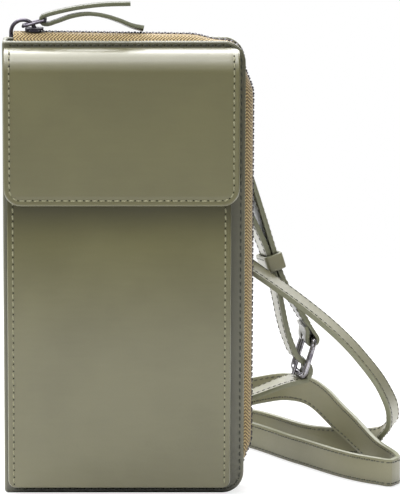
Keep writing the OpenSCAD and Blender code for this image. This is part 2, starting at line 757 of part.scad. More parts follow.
// The strap's section: a flat band with rounded edges, as shares of width and thickness
function band_section() = let (w = strap_w / 2, t = strap_t / 2, r = strap_round)
    [[w, -t + r], [w, t - r], [w - r, t], [-w + r, t], [-w, t - r], [-w, -t + r], [-w + r, -t], [w - r, -t]];

// The rings of a route: one at each point, and one halfway between two points where it bends
function near(route, i) = route[max(0, min(i, len(route) - 1))];
function way(route, i) = unit(near(route, i + 1)[0] - near(route, i - 1)[0]);
function halfway(route, i) = [for (k = [0, 1]) let (
    a = near(route, i - 1)[k],
    b = near(route, i)[k],
    c = near(route, i + 1)[k],
    d = near(route, i + 2)[k])
    (b + c) / 2 + (b - a - d + c) * curve_share];
function bends(route, i) = i > 0 && i < len(route) - 2
    && way(route, i) * way(route, i + 1) < cos(bend_limit);
function with_halves(route) = [for (i = [0 : len(route) - 1])
    each concat([route[i]], bends(route, i) ? [halfway(route, i)] : [])];
function route_ring(route, i) = let (
    ahead = way(route, i),
    lean = route[i][1],
    across = unit(lean - ahead * (lean * ahead)),
    face = cross(ahead, across))
    [for (q = band_section()) route[i][0] + across * q[0] + face * q[1]];

module strap(route) {
    full = with_halves(route);
    rings = [for (i = [0 : len(full) - 1]) route_ring(full, i)];
    faces = turned(skin(len(rings), len(rings[0])));
    color(olive) polyhedron([for (r = rings) each r], faces, convexity = 10);
}

module short_strap() strap(short_route);

module on_buckle() {
    translate(buckle_at) rotate([0, buckle_tilt, 0]) rotate([0, 0, buckle_yaw]) children();
}

// The needle of the prong stands over the lower bar, and the strap has a hole round it
needle_y = buckle_d / 2 + prong_d / 2;
module needle(d, over) {
    translate([0, needle_y, -buckle_l - prong_d - over]) cylinder(h = buckle_l + prong_d + over, d = d);
}

module long_strap() {
    difference() {
        strap(long_route);
        on_buckle() needle(prong_d + 2 * prong_gap, cut);
    }
}

module buckle_frame() {
    color(gunmetal) on_buckle() union() wire_loop(buckle_in_w, buckle_l, buckle_d, buckle_r);
}

// The prong: an eye round the upper bar, with the needle
module buckle_prong() {
    eye_r = buckle_in_r + prong_d;
    eye_w = prong_d + prong_gap;
    color(gunmetal) on_buckle() difference() {
        union() {
            translate([-eye_w / 2, 0, 0]) rotate([0, 90, 0]) cylinder(h = eye_w, r = eye_r);
            needle(prong_d, 0);
        }
        translate([-eye_w, 0, 0]) rotate([0, 90, 0]) cylinder(h = 2 * eye_w, r = buckle_in_r);
    }
}

// The short strap's lower end, doubled round the buckle's upper bar, with a slot for the prong
module buckle_fold() {
    in_r = buckle_in_r;
    out_r = in_r + fold_t;
    slot = prong_d + 2 * prong_gap;
    color(olive) on_buckle() rotate([buckle_fold_turn, 0, 0]) difference() {
        translate([-strap_w / 2, 0, 0]) rotate([90, 0, 90]) linear_extrude(strap_w) difference() {
            union() {
                circle(r = out_r);
                translate([-out_r, 0]) square([2 * out_r, strap_leg]);
            }
            circle(r = in_r);
            translate([-in_r, 0]) square([2 * in_r, strap_leg - fold_t]);
        }
        translate([-slot / 2, -out_r - cut, -out_r - cut])
            cube([slot, 2 * (out_r + cut), out_r + cut + in_r + prong_d]);
    }
}

// The keeper: a short leather tube round both straps
module strap_keeper() {
    w = keeper_in_w;
    t = keeper_in_t;
    r = keeper_t;
    color(olive) translate(keeper_at) rotate(keeper_turn) rotate([0, 0, keeper_yaw])
        translate([0, 0, -keeper_h / 2]) linear_extrude(keeper_h) difference() {
            outline(-w / 2 - r, -t / 2 - r, w / 2 + r, t / 2 + r, [r, r, r, r]);
            translate([-w / 2, -t / 2]) square([w, t]);
        }
}

back_cover();
back_lining();
card_panel();
back_zip_tape();
back_zip_teeth();
left_ring_tab();
right_ring_tab();
left_strap_ring();
right_strap_ring();
left_strap_fold();
right_strap_fold();
short_strap();
long_strap();
buckle_fold();
buckle_frame();
buckle_prong();
strap_keeper();
spine();
front_cover();
front_lining();
slip_pocket();
front_zip_tape();
front_zip_teeth();
pocket_gusset();
pocket_back_lining();
pocket_front();
pocket_front_lining();
pocket_magnet();
flap_root();
flap_fold();
flap_panel();
flap_lining();
flap_magnet();
zip_slider();
puller_link();
puller_thong();
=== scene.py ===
"""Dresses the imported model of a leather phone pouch.

A slim wallet that a zip closes round three sides carries a flapped phone pocket on its front and
a narrow buckled shoulder strap. It stands upright, +Z up, with the pocket facing -Y. Each class
dresses one sub-assembly. Sizes in the classes are millimetres, and the meshes are in metres.
"""

import json
import logging
from collections.abc import Callable, Iterable, Sequence
from dataclasses import dataclass, field
from enum import Enum
from functools import cache
from math import ceil, cos, exp, floor, hypot, pi, radians, sin, sqrt, tau

import bmesh
import bpy
from mathutils import Matrix, Vector

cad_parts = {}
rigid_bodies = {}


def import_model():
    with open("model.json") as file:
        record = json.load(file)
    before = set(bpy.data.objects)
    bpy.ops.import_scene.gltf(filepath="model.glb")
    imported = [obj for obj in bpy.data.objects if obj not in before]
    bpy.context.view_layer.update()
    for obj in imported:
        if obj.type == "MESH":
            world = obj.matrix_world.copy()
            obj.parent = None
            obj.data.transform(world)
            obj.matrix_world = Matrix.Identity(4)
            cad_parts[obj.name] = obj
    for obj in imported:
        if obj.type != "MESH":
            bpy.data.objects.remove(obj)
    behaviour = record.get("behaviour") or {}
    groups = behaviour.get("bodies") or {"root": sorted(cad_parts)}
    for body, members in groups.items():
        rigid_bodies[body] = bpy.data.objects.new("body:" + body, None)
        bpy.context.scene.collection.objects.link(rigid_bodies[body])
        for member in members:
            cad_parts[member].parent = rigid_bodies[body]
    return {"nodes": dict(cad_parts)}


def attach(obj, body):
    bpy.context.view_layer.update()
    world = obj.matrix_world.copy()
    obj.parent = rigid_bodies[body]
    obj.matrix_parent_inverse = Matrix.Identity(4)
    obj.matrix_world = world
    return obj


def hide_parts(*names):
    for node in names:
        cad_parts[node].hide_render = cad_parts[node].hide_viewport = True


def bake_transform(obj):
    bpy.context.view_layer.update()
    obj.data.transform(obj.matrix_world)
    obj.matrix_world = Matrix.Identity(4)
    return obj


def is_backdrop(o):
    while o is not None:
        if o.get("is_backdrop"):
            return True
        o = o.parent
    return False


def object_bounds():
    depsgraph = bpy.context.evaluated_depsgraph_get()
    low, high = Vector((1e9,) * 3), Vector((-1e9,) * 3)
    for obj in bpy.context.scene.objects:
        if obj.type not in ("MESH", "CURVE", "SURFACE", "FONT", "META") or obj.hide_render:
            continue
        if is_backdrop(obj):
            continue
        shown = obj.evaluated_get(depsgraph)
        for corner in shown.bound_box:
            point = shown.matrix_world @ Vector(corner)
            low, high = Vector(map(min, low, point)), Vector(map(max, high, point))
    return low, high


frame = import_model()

CAD_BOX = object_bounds()
MM = 0.001

Pair = tuple[float, float]
Triple = tuple[float, float, float]
Quad = tuple[float, float, float, float]
Piece = bpy.types.Object
Tree = bpy.types.NodeTree
Socket = bpy.types.NodeSocket
Outputs = bpy.types.bpy_prop_collection
Inputs = dict[str | int, object]
Carrier = Callable[[float], Quad]
Relief = Callable[[float, float], float]
Lines = tuple[list[Vector], list[Vector]]

log = logging.getLogger("pouch")


# Colours


def srgb(red: float, green: float, blue: float) -> Quad:
    """Turns a colour from 0 to 255 into the linear one that a shader takes, with full alpha."""
    shares = (value / 255 for value in (red, green, blue))
    return (*(s / 12.92 if s <= 0.04045 else ((s + 0.055) / 1.055) ** 2.4 for s in shares), 1.0)


def grey(level: float) -> Quad:
    """Returns a neutral linear colour of one level."""
    return (level, level, level, 1.0)


def scaled(tone: Quad, share: float) -> Quad:
    """Returns a colour with each channel times a share, up to white."""
    return (*(min(1.0, value * share) for value in tone[:3]), 1.0)


# Meshes


def linked(name: str, data: bpy.types.ID) -> Piece:
    """Makes an object of its data, and links it to the scene."""
    made = bpy.data.objects.new(name, data)
    bpy.context.scene.collection.objects.link(made)
    return made


def circle(count: int, r: float) -> list[Pair]:
    """Returns the points of a regular polygon, from its +X corner on."""
    turns = [tau * k / count for k in range(count)]
    return [(r * cos(a), r * sin(a)) for a in turns]


class Draft:
    """Points and faces of one piece, gathered in millimetres before they become a mesh."""

    def __init__(
        self, *shapes: "Sheet | Band", rings: Sequence[Sequence[Vector]] | None = None
    ) -> None:
        """Starts with some shapes, with a loft of rings, or with nothing."""
        self.points: list[Vector] = []
        self.rims: list[float] = []
        self.faces: list[tuple[int, ...]] = []
        self.uvs: list[tuple[Pair, ...]] = []
        self.slots: list[int] = []
        for shape in shapes:
            shape.add_to(self)
        if rings:
            self.loft(rings)

    def point(self, place: Vector, rim: float = 0.0) -> int:
        """Adds a point that belongs to a cut edge by a share, and returns its number."""
        self.points.append(place)
        self.rims.append(rim)
        return len(self.points) - 1

    def face(self, corners: Sequence[int], uvs: Sequence[Pair], slot: int = 0) -> None:
        """Adds a face with its own place on the UV map, in metres, and its finish's number."""
        self.faces.append(tuple(corners))
        self.uvs.append(tuple((u * MM, v * MM) for u, v in uvs))
        self.slots.append(slot)

    def loft(
        self,
        rings: Sequence[Sequence[Vector]],
        rims: Sequence[float] | None = None,
        slots: Sequence[int] | None = None,
        closed: bool = False,
    ) -> None:
        """Joins rings of points by faces, and caps the two ends of an open loft.

        Args:
            rings: Rings with the same number of points, each a closed loop.
            rims: How much each point of a ring belongs to a cut edge.
            slots: The finish of each face of a ring.
            closed: Whether the last ring joins the first.
        """
        count = len(rings[0])
        rims = rims or [0.0] * count
        slots = slots or [0] * count
        numbers = [[self.point(p, rims[k]) for k, p in enumerate(ring)] for ring in rings]
        around = [0.0]
        for k in range(count):
            around.append(around[-1] + (rings[0][(k + 1) % count] - rings[0][k]).length)
        middles = [sum(ring, Vector()) / count for ring in rings]
        along = [0.0]
        for i in range(len(rings) if closed else len(rings) - 1):
            along.append(along[-1] + (middles[(i + 1) % len(rings)] - middles[i]).length)
        for i in range(len(along) - 1):
            a, b = numbers[i], numbers[(i + 1) % len(rings)]
            v0, v1 = along[i], along[i + 1]
            for k in range(count):
                n = (k + 1) % count
                u0, u1 = around[k], around[k + 1]
                uvs = ((u0, v0), (u1, v0), (u1, v1), (u0, v1))
                self.face((a[k], a[n], b[n], b[k]), uvs, slots[k])
        if not closed:
            for end in (numbers[0], numbers[-1]):
                self.face(end, [(0.0, 0.0)] * count, max(slots))

    def mesh(self, name: str, sharp: float = 40.0) -> Piece:
        """Makes the piece's object at the origin, with its faces turned outwards.

        Args:
            name: The piece's name.
            sharp: The angle in degrees past which an edge between faces stays sharp.

        Returns:
            The object.
        """
        data = bpy.data.meshes.new(name)
        data.from_pydata([tuple(p * MM) for p in self.points], [], self.faces)
        layer = data.uv_layers.new(name="UVMap")
        layer.data.foreach_set("uv", [v for face in self.uvs for uv in face for v in uv])
        data.polygons.foreach_set("material_index", self.slots)
        rim = data.attributes.new("rim", "FLOAT", "POINT")
        rim.data.foreach_set("value", self.rims)
        shell = bmesh.new()
        shell.from_mesh(data)
        bmesh.ops.recalc_face_normals(shell, faces=shell.faces)
        shell.to_mesh(data)
        shell.free()
        data.shade_smooth()
        data.set_sharp_from_angle(angle=radians(sharp))
        return linked(name, data)


class Side(Enum):
    """The sides of an outline, in the order in which a seam walks round them."""

    LEFT = 0
    FOOT = 1
    RIGHT = 2
    TOP = 3


U_SIDES = (Side.LEFT, Side.FOOT, Side.RIGHT)


@dataclass(frozen=True)
class Outline:
    """A flat outline in X and a length s, with a radius at each corner."""

    x0: float
    s0: float
    x1: float
    s1: float
    lower_left: float = 0.5
    lower_right: float = 0.5
    upper_right: float = 0.5
    upper_left: float = 0.5

    def shrunk(self, inset: float) -> "Outline":
        """Returns the outline that lies that far inside this one."""
        radii = (self.lower_left, self.lower_right, self.upper_right, self.upper_left)
        corners = (self.x0 + inset, self.s0 + inset, self.x1 - inset, self.s1 - inset)
        return Outline(*corners, *(max(r - inset, 0.15) for r in radii))

    def side(self, s: float, right: bool) -> tuple[float, Vector]:
        """Finds the outline's side at one level.

        Args:
            s: The level.
            right: Whether it is the right side.

        Returns:
            Its X, and the outward direction there in X and s.
        """
        if right:
            low, high, edge, sign = self.lower_right, self.upper_right, self.x1, 1.0
        else:
            low, high, edge, sign = self.lower_left, self.upper_left, self.x0, -1.0
        if s < self.s0 + low:
            drop, r, away = self.s0 + low - s, low, -1.0
        elif s > self.s1 - high:
            drop, r, away = s - self.s1 + high, high, 1.0
        else:
            return edge, Vector((sign, 0.0))
        across = sqrt(max(r * r - drop * drop, 0.0))
        return edge - sign * (r - across), Vector((sign * across / r, away * min(drop / r, 1.0)))

    def levels(self, step: float) -> list[float]:
        """Returns the levels of the rows, close together where the corners turn."""
        found = []
        for r, foot in (
            (self.lower_left, True),
            (self.lower_right, True),
            (self.upper_left, False),
            (self.upper_right, False),
        ):
            count = max(3, round(r * 1.3))
            for i in range(count + 1):
                rise = r * (1 - cos(pi / 2 * i / count))
                found.append(self.s0 + rise if foot else self.s1 - rise)
        low = self.s0 + max(self.lower_left, self.lower_right)
        high = self.s1 - max(self.upper_left, self.upper_right)
        count = max(1, round((high - low) / step))
        found += [low + (high - low) * i / count for i in range(count + 1)]
        found.sort()
        kept = [found[0]]
        for level in found[1:]:
            if level - kept[-1] > 0.04:
                kept.append(level)
        kept[-1] = self.s1
        return kept

    def walk(self, sides: Sequence[Side], inset: float, step: float = 1.5) -> list[Vector]:
        """Walks along some neighbouring sides, inside the outline.

        Args:
            sides: The sides, in the order of Side.
            inset: How far inside the outline the walk keeps.
            step: The longest step.

        Returns:
            Points in X and s.
        """
        o = self.shrunk(inset)
        ll, lr, ur, ul = o.lower_left, o.lower_right, o.upper_right, o.upper_left
        # Each side's start and end, then the middle, radius and first angle of the next corner.
        legs = {
            Side.LEFT: ((o.x0, o.s1 - ul), (o.x0, o.s0 + ll), o.x0 + ll, o.s0 + ll, ll, 180),
            Side.FOOT: ((o.x0 + ll, o.s0), (o.x1 - lr, o.s0), o.x1 - lr, o.s0 + lr, lr, 270),
            Side.RIGHT: ((o.x1, o.s0 + lr), (o.x1, o.s1 - ur), o.x1 - ur, o.s1 - ur, ur, 0),
            Side.TOP: ((o.x1 - ur, o.s1), (o.x0 + ul, o.s1), o.x0 + ul, o.s1 - ul, ul, 90),
        }
        points: list[Vector] = []
        for number, name in enumerate(sides):
            start, end, x, s, r, angle = legs[name]
            start, end = Vector(start), Vector(end)
            count = max(1, ceil((end - start).length / step))
            points += [start.lerp(end, i / count) for i in range(count + 1)]
            if number < len(sides) - 1:
                for i in range(1, 8):
                    turn = radians(angle + 90 * i / 8)
                    points.append(Vector((x + r * cos(turn), s + r * sin(turn))))
        return points


@dataclass
class Seam:
    """A line that a row of small pieces follows, with the direction that they face."""

    places: list[Vector]
    facings: list[Vector]


def trimmed(points: list[Vector], trim: Pair) -> list[Vector]:
    """Cuts a length off each end of a line of points.

    Args:
        points: The line.
        trim: The lengths to cut off its start and its end.

    Returns:
        The shorter line.
    """
    for number, length in enumerate(trim):
        line = points if number == 0 else points[::-1]
        while len(line) > 2 and length > 0:
            step = (line[1] - line[0]).length
            if step > length:
                line = [line[0].lerp(line[1], length / step)] + line[1:]
                length = 0
            else:
                line, length = line[1:], length - step
        points = line if number == 0 else line[::-1]
    return points


def upright(y: float, facing: float = -1.0) -> Carrier:
    """Returns the carrier of a flat upright sheet at y that faces along Y."""
    return lambda s: (y, s, facing, 0.0)


# The turns of a sheet's rounded edge in degrees, and how much each belongs to the cut edge.
EDGE_TURNS = ((30, 0.0), (60, 0.45), (90, 1.0))


@dataclass
class Sheet:
    """A sheet of leather or cloth with rounded edges, on a carrier that may bend."""

    outline: Outline
    carrier: Carrier
    outer: float
    inner: float
    edge_r: float = 0.5
    step: float = 4.0
    relief: Relief = lambda _x, _s: 0.0
    edge_slot: int = 1

    def place(self, x: float, s: float, offset: float) -> Vector:
        """Returns the place of a point of the sheet, offset along its outward direction."""
        y, z, ny, nz = self.carrier(s)
        return Vector((x, y + ny * offset, z + nz * offset))

    def height(self, x: float, s: float, front: bool = True) -> float:
        """Returns the offset of the outer face, with its relief, or of the inner face."""
        return self.outer + self.relief(x, s) if front else self.inner

    def add_to(self, draft: Draft) -> None:
        """Adds the sheet's two faces and its rounded edge to a draft."""
        e = min(self.edge_r, (self.outer - self.inner) / 2 - 0.02)
        base = self.outline.shrunk(e)
        count = max(6, round((base.x1 - base.x0) / self.step * 1.3))
        shares = [(1 - cos(pi * j / count)) / 2 for j in range(count + 1)]
        spots, normals = [], []
        for s in base.levels(self.step):
            (left, n_left), (right, n_right) = base.side(s, False), base.side(s, True)
            spots.append([(left + (right - left) * t, s) for t in shares])
            normals.append((n_left, n_right))
        faces = [
            [
                [draft.point(self.place(x, s, self.height(x, s, front))) for x, s in row]
                for row in spots
            ]
            for front in (True, False)
        ]
        for rows in faces:
            for i in range(len(spots) - 1):
                for j in range(count):
                    corners = ((i, j), (i, j + 1), (i + 1, j + 1), (i + 1, j))
                    draft.face([rows[a][b] for a, b in corners], [spots[a][b] for a, b in corners])
        self._edge(draft, spots, normals, faces, e)

    def _edge(
        self,
        draft: Draft,
        spots: list[list[Pair]],
        normals: list[tuple[Vector, Vector]],
        faces: list[list[list[int]]],
        e: float,
    ) -> None:
        """Adds the rounded edge between the two faces.

        Args:
            draft: The draft.
            spots: The rows of base points, in X and s.
            normals: The outward directions at the ends of each row.
            faces: The point numbers of the outer and the inner face.
            e: The radius of the edge's rounding.
        """
        top, last = len(spots) - 1, len(spots[0]) - 1
        loop = [(0, j) for j in range(last + 1)]
        loop += [(i, last) for i in range(1, top + 1)]
        loop += [(top, j) for j in range(last - 1, -1, -1)]
        loop += [(i, 0) for i in range(top - 1, 0, -1)]
        away = []
        for i, j in loop:
            if i in (0, top) and 0 < j < last:
                away.append(Vector((0.0, -1.0 if i == 0 else 1.0)))
            else:
                away.append(normals[i][0 if j == 0 else 1])
        rings = [[faces[0][i][j] for i, j in loop]]
        for front in (True, False):
            for degrees, rim in EDGE_TURNS if front else reversed(EDGE_TURNS):
                a = radians(degrees)
                drop = e * (1 - cos(a)) * (1 if front else -1)
                ring = []
                for (i, j), n in zip(loop, away):
                    x, s = spots[i][j]
                    out = n * (e * sin(a))
                    place = self.place(x + out.x, s + out.y, self.height(x, s, front) - drop)
                    ring.append(draft.point(place, rim))
                rings.append(ring)
        rings.append([faces[1][i][j] for i, j in loop])
        count = len(loop)
        for number, (lower, upper) in enumerate(zip(rings, rings[1:])):
            slot = self.edge_slot if 1 < number < len(rings) - 3 else 0
            for k in range(count):
                n = (k + 1) % count
                uvs = ((k, number), (k + 1, number), (k + 1, number + 1), (k, number + 1))
                draft.face((lower[k], lower[n], upper[n], upper[k]), uvs, slot)

    def seam(
        self, sides: Sequence[Side], inset: float, trim: Pair, lift: float = 0.02
    ) -> Seam:
        """Draws a seam's line on the outer face, inside the outline.

        Args:
            sides: The sides that it follows.
            inset: Its distance from the edge.
            trim: How much is cut off its two ends.
            lift: How far above the face the line lies.

        Returns:
            The seam.
        """
        points = trimmed(self.outline.walk(sides, inset), trim)
        places = [self.place(p.x, p.y, self.height(p.x, p.y) + lift) for p in points]
        return Seam(places, [Vector((0.0, *self.carrier(p.y)[2:])) for p in points])


def baked(piece: Piece) -> Piece:
    """Turns a piece's modifiers into its plain mesh, and returns the piece."""
    bpy.context.view_layer.update()
    evaluated = piece.evaluated_get(bpy.context.evaluated_depsgraph_get())
    data = bpy.data.meshes.new_from_object(evaluated)
    data.name = piece.name
    piece.modifiers.clear()
    piece.data = data
    return piece


def carve(piece: Piece, cutter: Piece) -> None:
    """Cuts a closed shape out of a piece, and removes the cutter."""
    modifier = piece.modifiers.new("Carve", "BOOLEAN")
    modifier.operation = "DIFFERENCE"
    modifier.solver = "EXACT"
    modifier.object = cutter
    baked(piece)
    bpy.data.objects.remove(cutter)


# Node trees


FLOAT, COLOUR, VECTOR = "NodeSocketFloat", "NodeSocketColor", "NodeSocketVector"
GEOMETRY, OBJECT, MATERIAL = "NodeSocketGeometry", "NodeSocketObject", "NodeSocketMaterial"


class Bench:
    """Adds nodes to a tree and joins their sockets."""

    def __init__(self, tree: Tree) -> None:
        """Takes the tree that it works on."""
        self.tree = tree

    def add(self, kind: str, inputs: Inputs | None = None, **settings: object) -> Outputs:
        """Adds a node.

        Args:
            kind: Blender's name of the node type.
            inputs: Values or sockets for its inputs, by name or number.
            **settings: The node's own settings.

        Returns:
            The node's outputs.
        """
        node = self.tree.nodes.new(kind)
        for name, value in settings.items():
            setattr(node, name, value)
        for key, value in (inputs or {}).items():
            self.feed(node.inputs[key], value)
        return node.outputs

    def feed(self, socket: Socket, value: object) -> None:
        """Links a socket to an input, or sets the input's value."""
        if isinstance(value, Socket):
            self.tree.links.new(value, socket)
        else:
            socket.default_value = value

    def math(self, operation: str, *values: object, clamp: bool = False) -> Socket:
        """Adds a Math node of up to three values, and returns its output."""
        inputs = dict(enumerate(values))
        return self.add("ShaderNodeMath", inputs, operation=operation, use_clamp=clamp)[0]

    def times(self, first: object, second: object) -> Socket:
        """Returns the product of two values."""
        return self.math("MULTIPLY", first, second)

    def line(self, value: object, slope: object, base: object, clamp: bool = False) -> Socket:
        """Returns a value times a slope, plus a base."""
        return self.math("MULTIPLY_ADD", value, slope, base, clamp=clamp)

    def mix(self, share: object, first: object, second: object) -> Socket:
        """Adds a colour mix, and returns its output."""
        return self.add("ShaderNodeMix", {0: share, 6: first, 7: second}, data_type="RGBA")[2]

    def ramp(self, value: object, low: float, high: float) -> Socket:
        """Adds a smooth step from low to high, and returns its output from 0 to 1."""
        inputs = {"Value": value, "From Min": low, "From Max": high}
        return self.add("ShaderNodeMapRange", inputs, interpolation_type="SMOOTHSTEP")["Result"]

    def noise(self, where: Socket, scale: object, detail: float) -> Socket:
        """Adds a noise texture, and returns its value."""
        inputs = {"Vector": where, "Scale": scale, "Detail": detail}
        return self.add("ShaderNodeTexNoise", inputs)[0]

    def where(self, kind: str = "Object") -> Socket:
        """Returns the object's coordinates, or its UV map."""
        return self.add("ShaderNodeTexCoord")[kind]

    def bump(self, height: Socket, depth: float) -> Socket:
        """Returns the normal of a relief that is so many millimetres deep."""
        return self.add("ShaderNodeBump", {"Distance": depth * MM, "Height": height})[0]

    def seen_directly(self) -> Socket:
        """Returns 1 for rays that come straight from the camera."""
        path = self.add("ShaderNodeLightPath")
        return self.math("MAXIMUM", path["Is Camera Ray"], path["Is Transmission Ray"])


class Group(Bench):
    """A new node group with named sockets."""

    def __init__(
        self,
        name: str,
        inputs: dict[str, str],
        outputs: dict[str, str],
        kind: str = "ShaderNodeTree",
    ) -> None:
        """Starts the group.

        Args:
            name: The group's name.
            inputs: Socket types by input name.
            outputs: Socket types by output name.
            kind: The type of the tree.
        """
        super().__init__(bpy.data.node_groups.new(name, kind))
        for sockets, way in ((inputs, "INPUT"), (outputs, "OUTPUT")):
            for label, socket_type in sockets.items():
                self.tree.interface.new_socket(name=label, in_out=way, socket_type=socket_type)
        self.entry = self.tree.nodes.new("NodeGroupInput").outputs
        self.leaving = self.tree.nodes.new("NodeGroupOutput").inputs

    def give(self, **outputs: Socket) -> Tree:
        """Feeds the group's outputs, and returns its tree."""
        for name, socket in outputs.items():
            self.feed(self.leaving[name], socket)
        return self.tree


LOOK = {"Vector": VECTOR, "Tone": COLOUR, "Deep Tone": COLOUR}


@cache
def hide_grain() -> Tree:
    """Builds leather's fine creased grain and its slow drift of tone."""
    group = Group(
        "hide_grain",
        LOOK | {"Pebble Scale": FLOAT, "Drift Scale": FLOAT, "Roughness": FLOAT},
        {"Color": COLOUR, "Roughness": FLOAT, "Height": FLOAT},
    )
    entry = group.entry
    where, pebble, drift = entry["Vector"], entry["Pebble Scale"], entry["Drift Scale"]
    drawn = group.add("ShaderNodeVectorMath", {0: where, 1: (0.3, 1.0, 2.2)}, operation="MULTIPLY")
    streak = group.noise(drawn[0], group.times(drift, 9.0), 2.0)
    cells = group.add(
        "ShaderNodeTexVoronoi",
        {"Vector": where, "Scale": pebble, "Smoothness": 0.6},
        feature="SMOOTH_F1",
    )["Distance"]
    pores = group.noise(where, group.times(pebble, 2.3), 2.0)
    cloud = group.ramp(group.noise(where, drift, 3.0), 0.3, 0.7)
    tone = group.line(streak, 0.35, group.times(cloud, 0.65))
    height = group.line(pores, 0.3, group.times(cells, 0.7))
    crease = group.ramp(cells, 0.35, 0.75)
    dark = group.line(crease, 0.04, group.times(tone, 0.8), clamp=True)
    rough = group.line(tone, 0.1, group.math("SUBTRACT", entry["Roughness"], 0.05))
    return group.give(
        Color=group.mix(dark, entry["Tone"], entry["Deep Tone"]),
        Roughness=group.line(crease, 0.06, rough),
        Height=group.math("SUBTRACT", 1.0, height),
    )


@cache
def worn_rim() -> Tree:
    """Builds the paler look of a cut edge: edge paint and rubbed wear, and a painted highlight
    where the rounded edge catches light.
    """
    group = Group(
        "worn_rim",
        {"Vector": VECTOR, "Tone": COLOUR, "Rim Tone": COLOUR, "Rim": FLOAT, "Rub": FLOAT},
        {"Color": COLOUR, "Mask": FLOAT},
    )
    entry = group.entry
    patches = group.noise(entry["Vector"], 260.0, 3.0)
    rub = group.times(group.line(patches, 0.9, -0.45), entry["Rub"])
    share = group.ramp(group.math("ADD", entry["Rim"], rub), 0.2, 0.95)
    mask = group.times(share, group.ramp(entry["Rim"], 0.0, 0.2))
    return group.give(Color=group.mix(mask, entry["Tone"], entry["Rim Tone"]), Mask=mask)


@cache
def chevron_twill() -> Tree:
    """Builds a zip tape's chevron twill on a UV map in metres."""
    group = Group(
        "chevron_twill",
        LOOK | {"Yarn Pitch": FLOAT, "Chevron Width": FLOAT},
        {"Color": COLOUR, "Height": FLOAT},
    )
    entry = group.entry
    where = entry["Vector"]
    split = group.add("ShaderNodeSeparateXYZ", {0: where})
    across, along = (group.times(split[axis], 1 / MM) for axis in (0, 1))
    slanted = group.line(group.math("PINGPONG", across, entry["Chevron Width"]), 0.9, along)
    slanted = group.line(group.noise(where, 900.0, 1.0), 0.25, slanted)
    turn = group.times(group.math("DIVIDE", slanted, entry["Yarn Pitch"]), tau)
    wave = group.ramp(group.line(group.math("SINE", turn), 0.5, 0.5), 0.15, 0.8)
    tone = group.line(group.noise(where, 5200.0, 2.0), 0.4, wave)
    tone = group.math("SUBTRACT", tone, 0.22, clamp=True)
    return group.give(Color=group.mix(tone, entry["Deep Tone"], entry["Tone"]), Height=tone)


@cache
def plain_weave() -> Tree:
    """Builds a plain weave in X and Z, for linings."""
    group = Group(
        "plain_weave", LOOK | {"Thread Pitch": FLOAT}, {"Color": COLOUR, "Height": FLOAT}
    )
    entry = group.entry
    split = group.add("ShaderNodeSeparateXYZ", {0: entry["Vector"]})
    rate = group.math("DIVIDE", pi / MM, entry["Thread Pitch"])
    warp, weft = (group.math("SINE", group.times(split[axis], rate)) for axis in (0, 2))
    height = group.line(group.times(warp, weft), 0.5, 0.5)
    slub = group.noise(entry["Vector"], 700.0, 3.0)
    tone = group.line(slub, 0.6, group.times(height, 0.5))
    return group.give(Color=group.mix(tone, entry["Deep Tone"], entry["Tone"]), Height=height)


@cache
def plated_metal() -> Tree:
    """Builds a plated metal's faint polishing marks and tarnish."""
    group = Group(
        "plated_metal",
        LOOK | {"Roughness": FLOAT},
        {"Color": COLOUR, "Roughness": FLOAT, "Height": FLOAT},
    )
    entry = group.entry
    share = group.ramp(group.noise(entry["Vector"], 420.0, 4.0), 0.35, 0.75)
    marks = group.noise(entry["Vector"], 3500.0, 3.0)
    return group.give(
        Color=group.mix(share, entry["Tone"], entry["Deep Tone"]),
        Roughness=group.line(marks, 0.08, group.line(share, 0.14, entry["Roughness"])),
        Height=marks,
    )


# Finishes


@dataclass(frozen=True)
class Finish:
    """A finish in two tones, whose material is built when it is first asked for."""

    name: str
    tone: Quad
    deep_tone: Quad

    def look(self, bench: Bench) -> Inputs:
        """Returns what the shader's inputs take, by their names."""
        raise NotImplementedError

    def group(
        self, bench: Bench, tree: Tree, where: Socket, inputs: Inputs
    ) -> Outputs:
        """Places a shader group with the finish's two tones.

        Args:
            bench: The material's bench.
            tree: The group.
            where: The coordinates that it follows.
            inputs: Its further inputs.

        Returns:
            The group's outputs.
        """
        tones = {"Vector": where, "Tone": self.tone, "Deep Tone": self.deep_tone}
        return bench.add("ShaderNodeGroup", tones | inputs, node_tree=tree)

    def material(self) -> bpy.types.Material:
        """Returns the finish's material."""
        found = bpy.data.materials.get(self.name)
        if found:
            return found
        made = bpy.data.materials.new(self.name)
        made.use_nodes = True
        bench = Bench(made.node_tree)
        surface = made.node_tree.nodes["Principled BSDF"]
        for name, value in self.look(bench).items():
            bench.feed(surface.inputs[name], value)
        return made


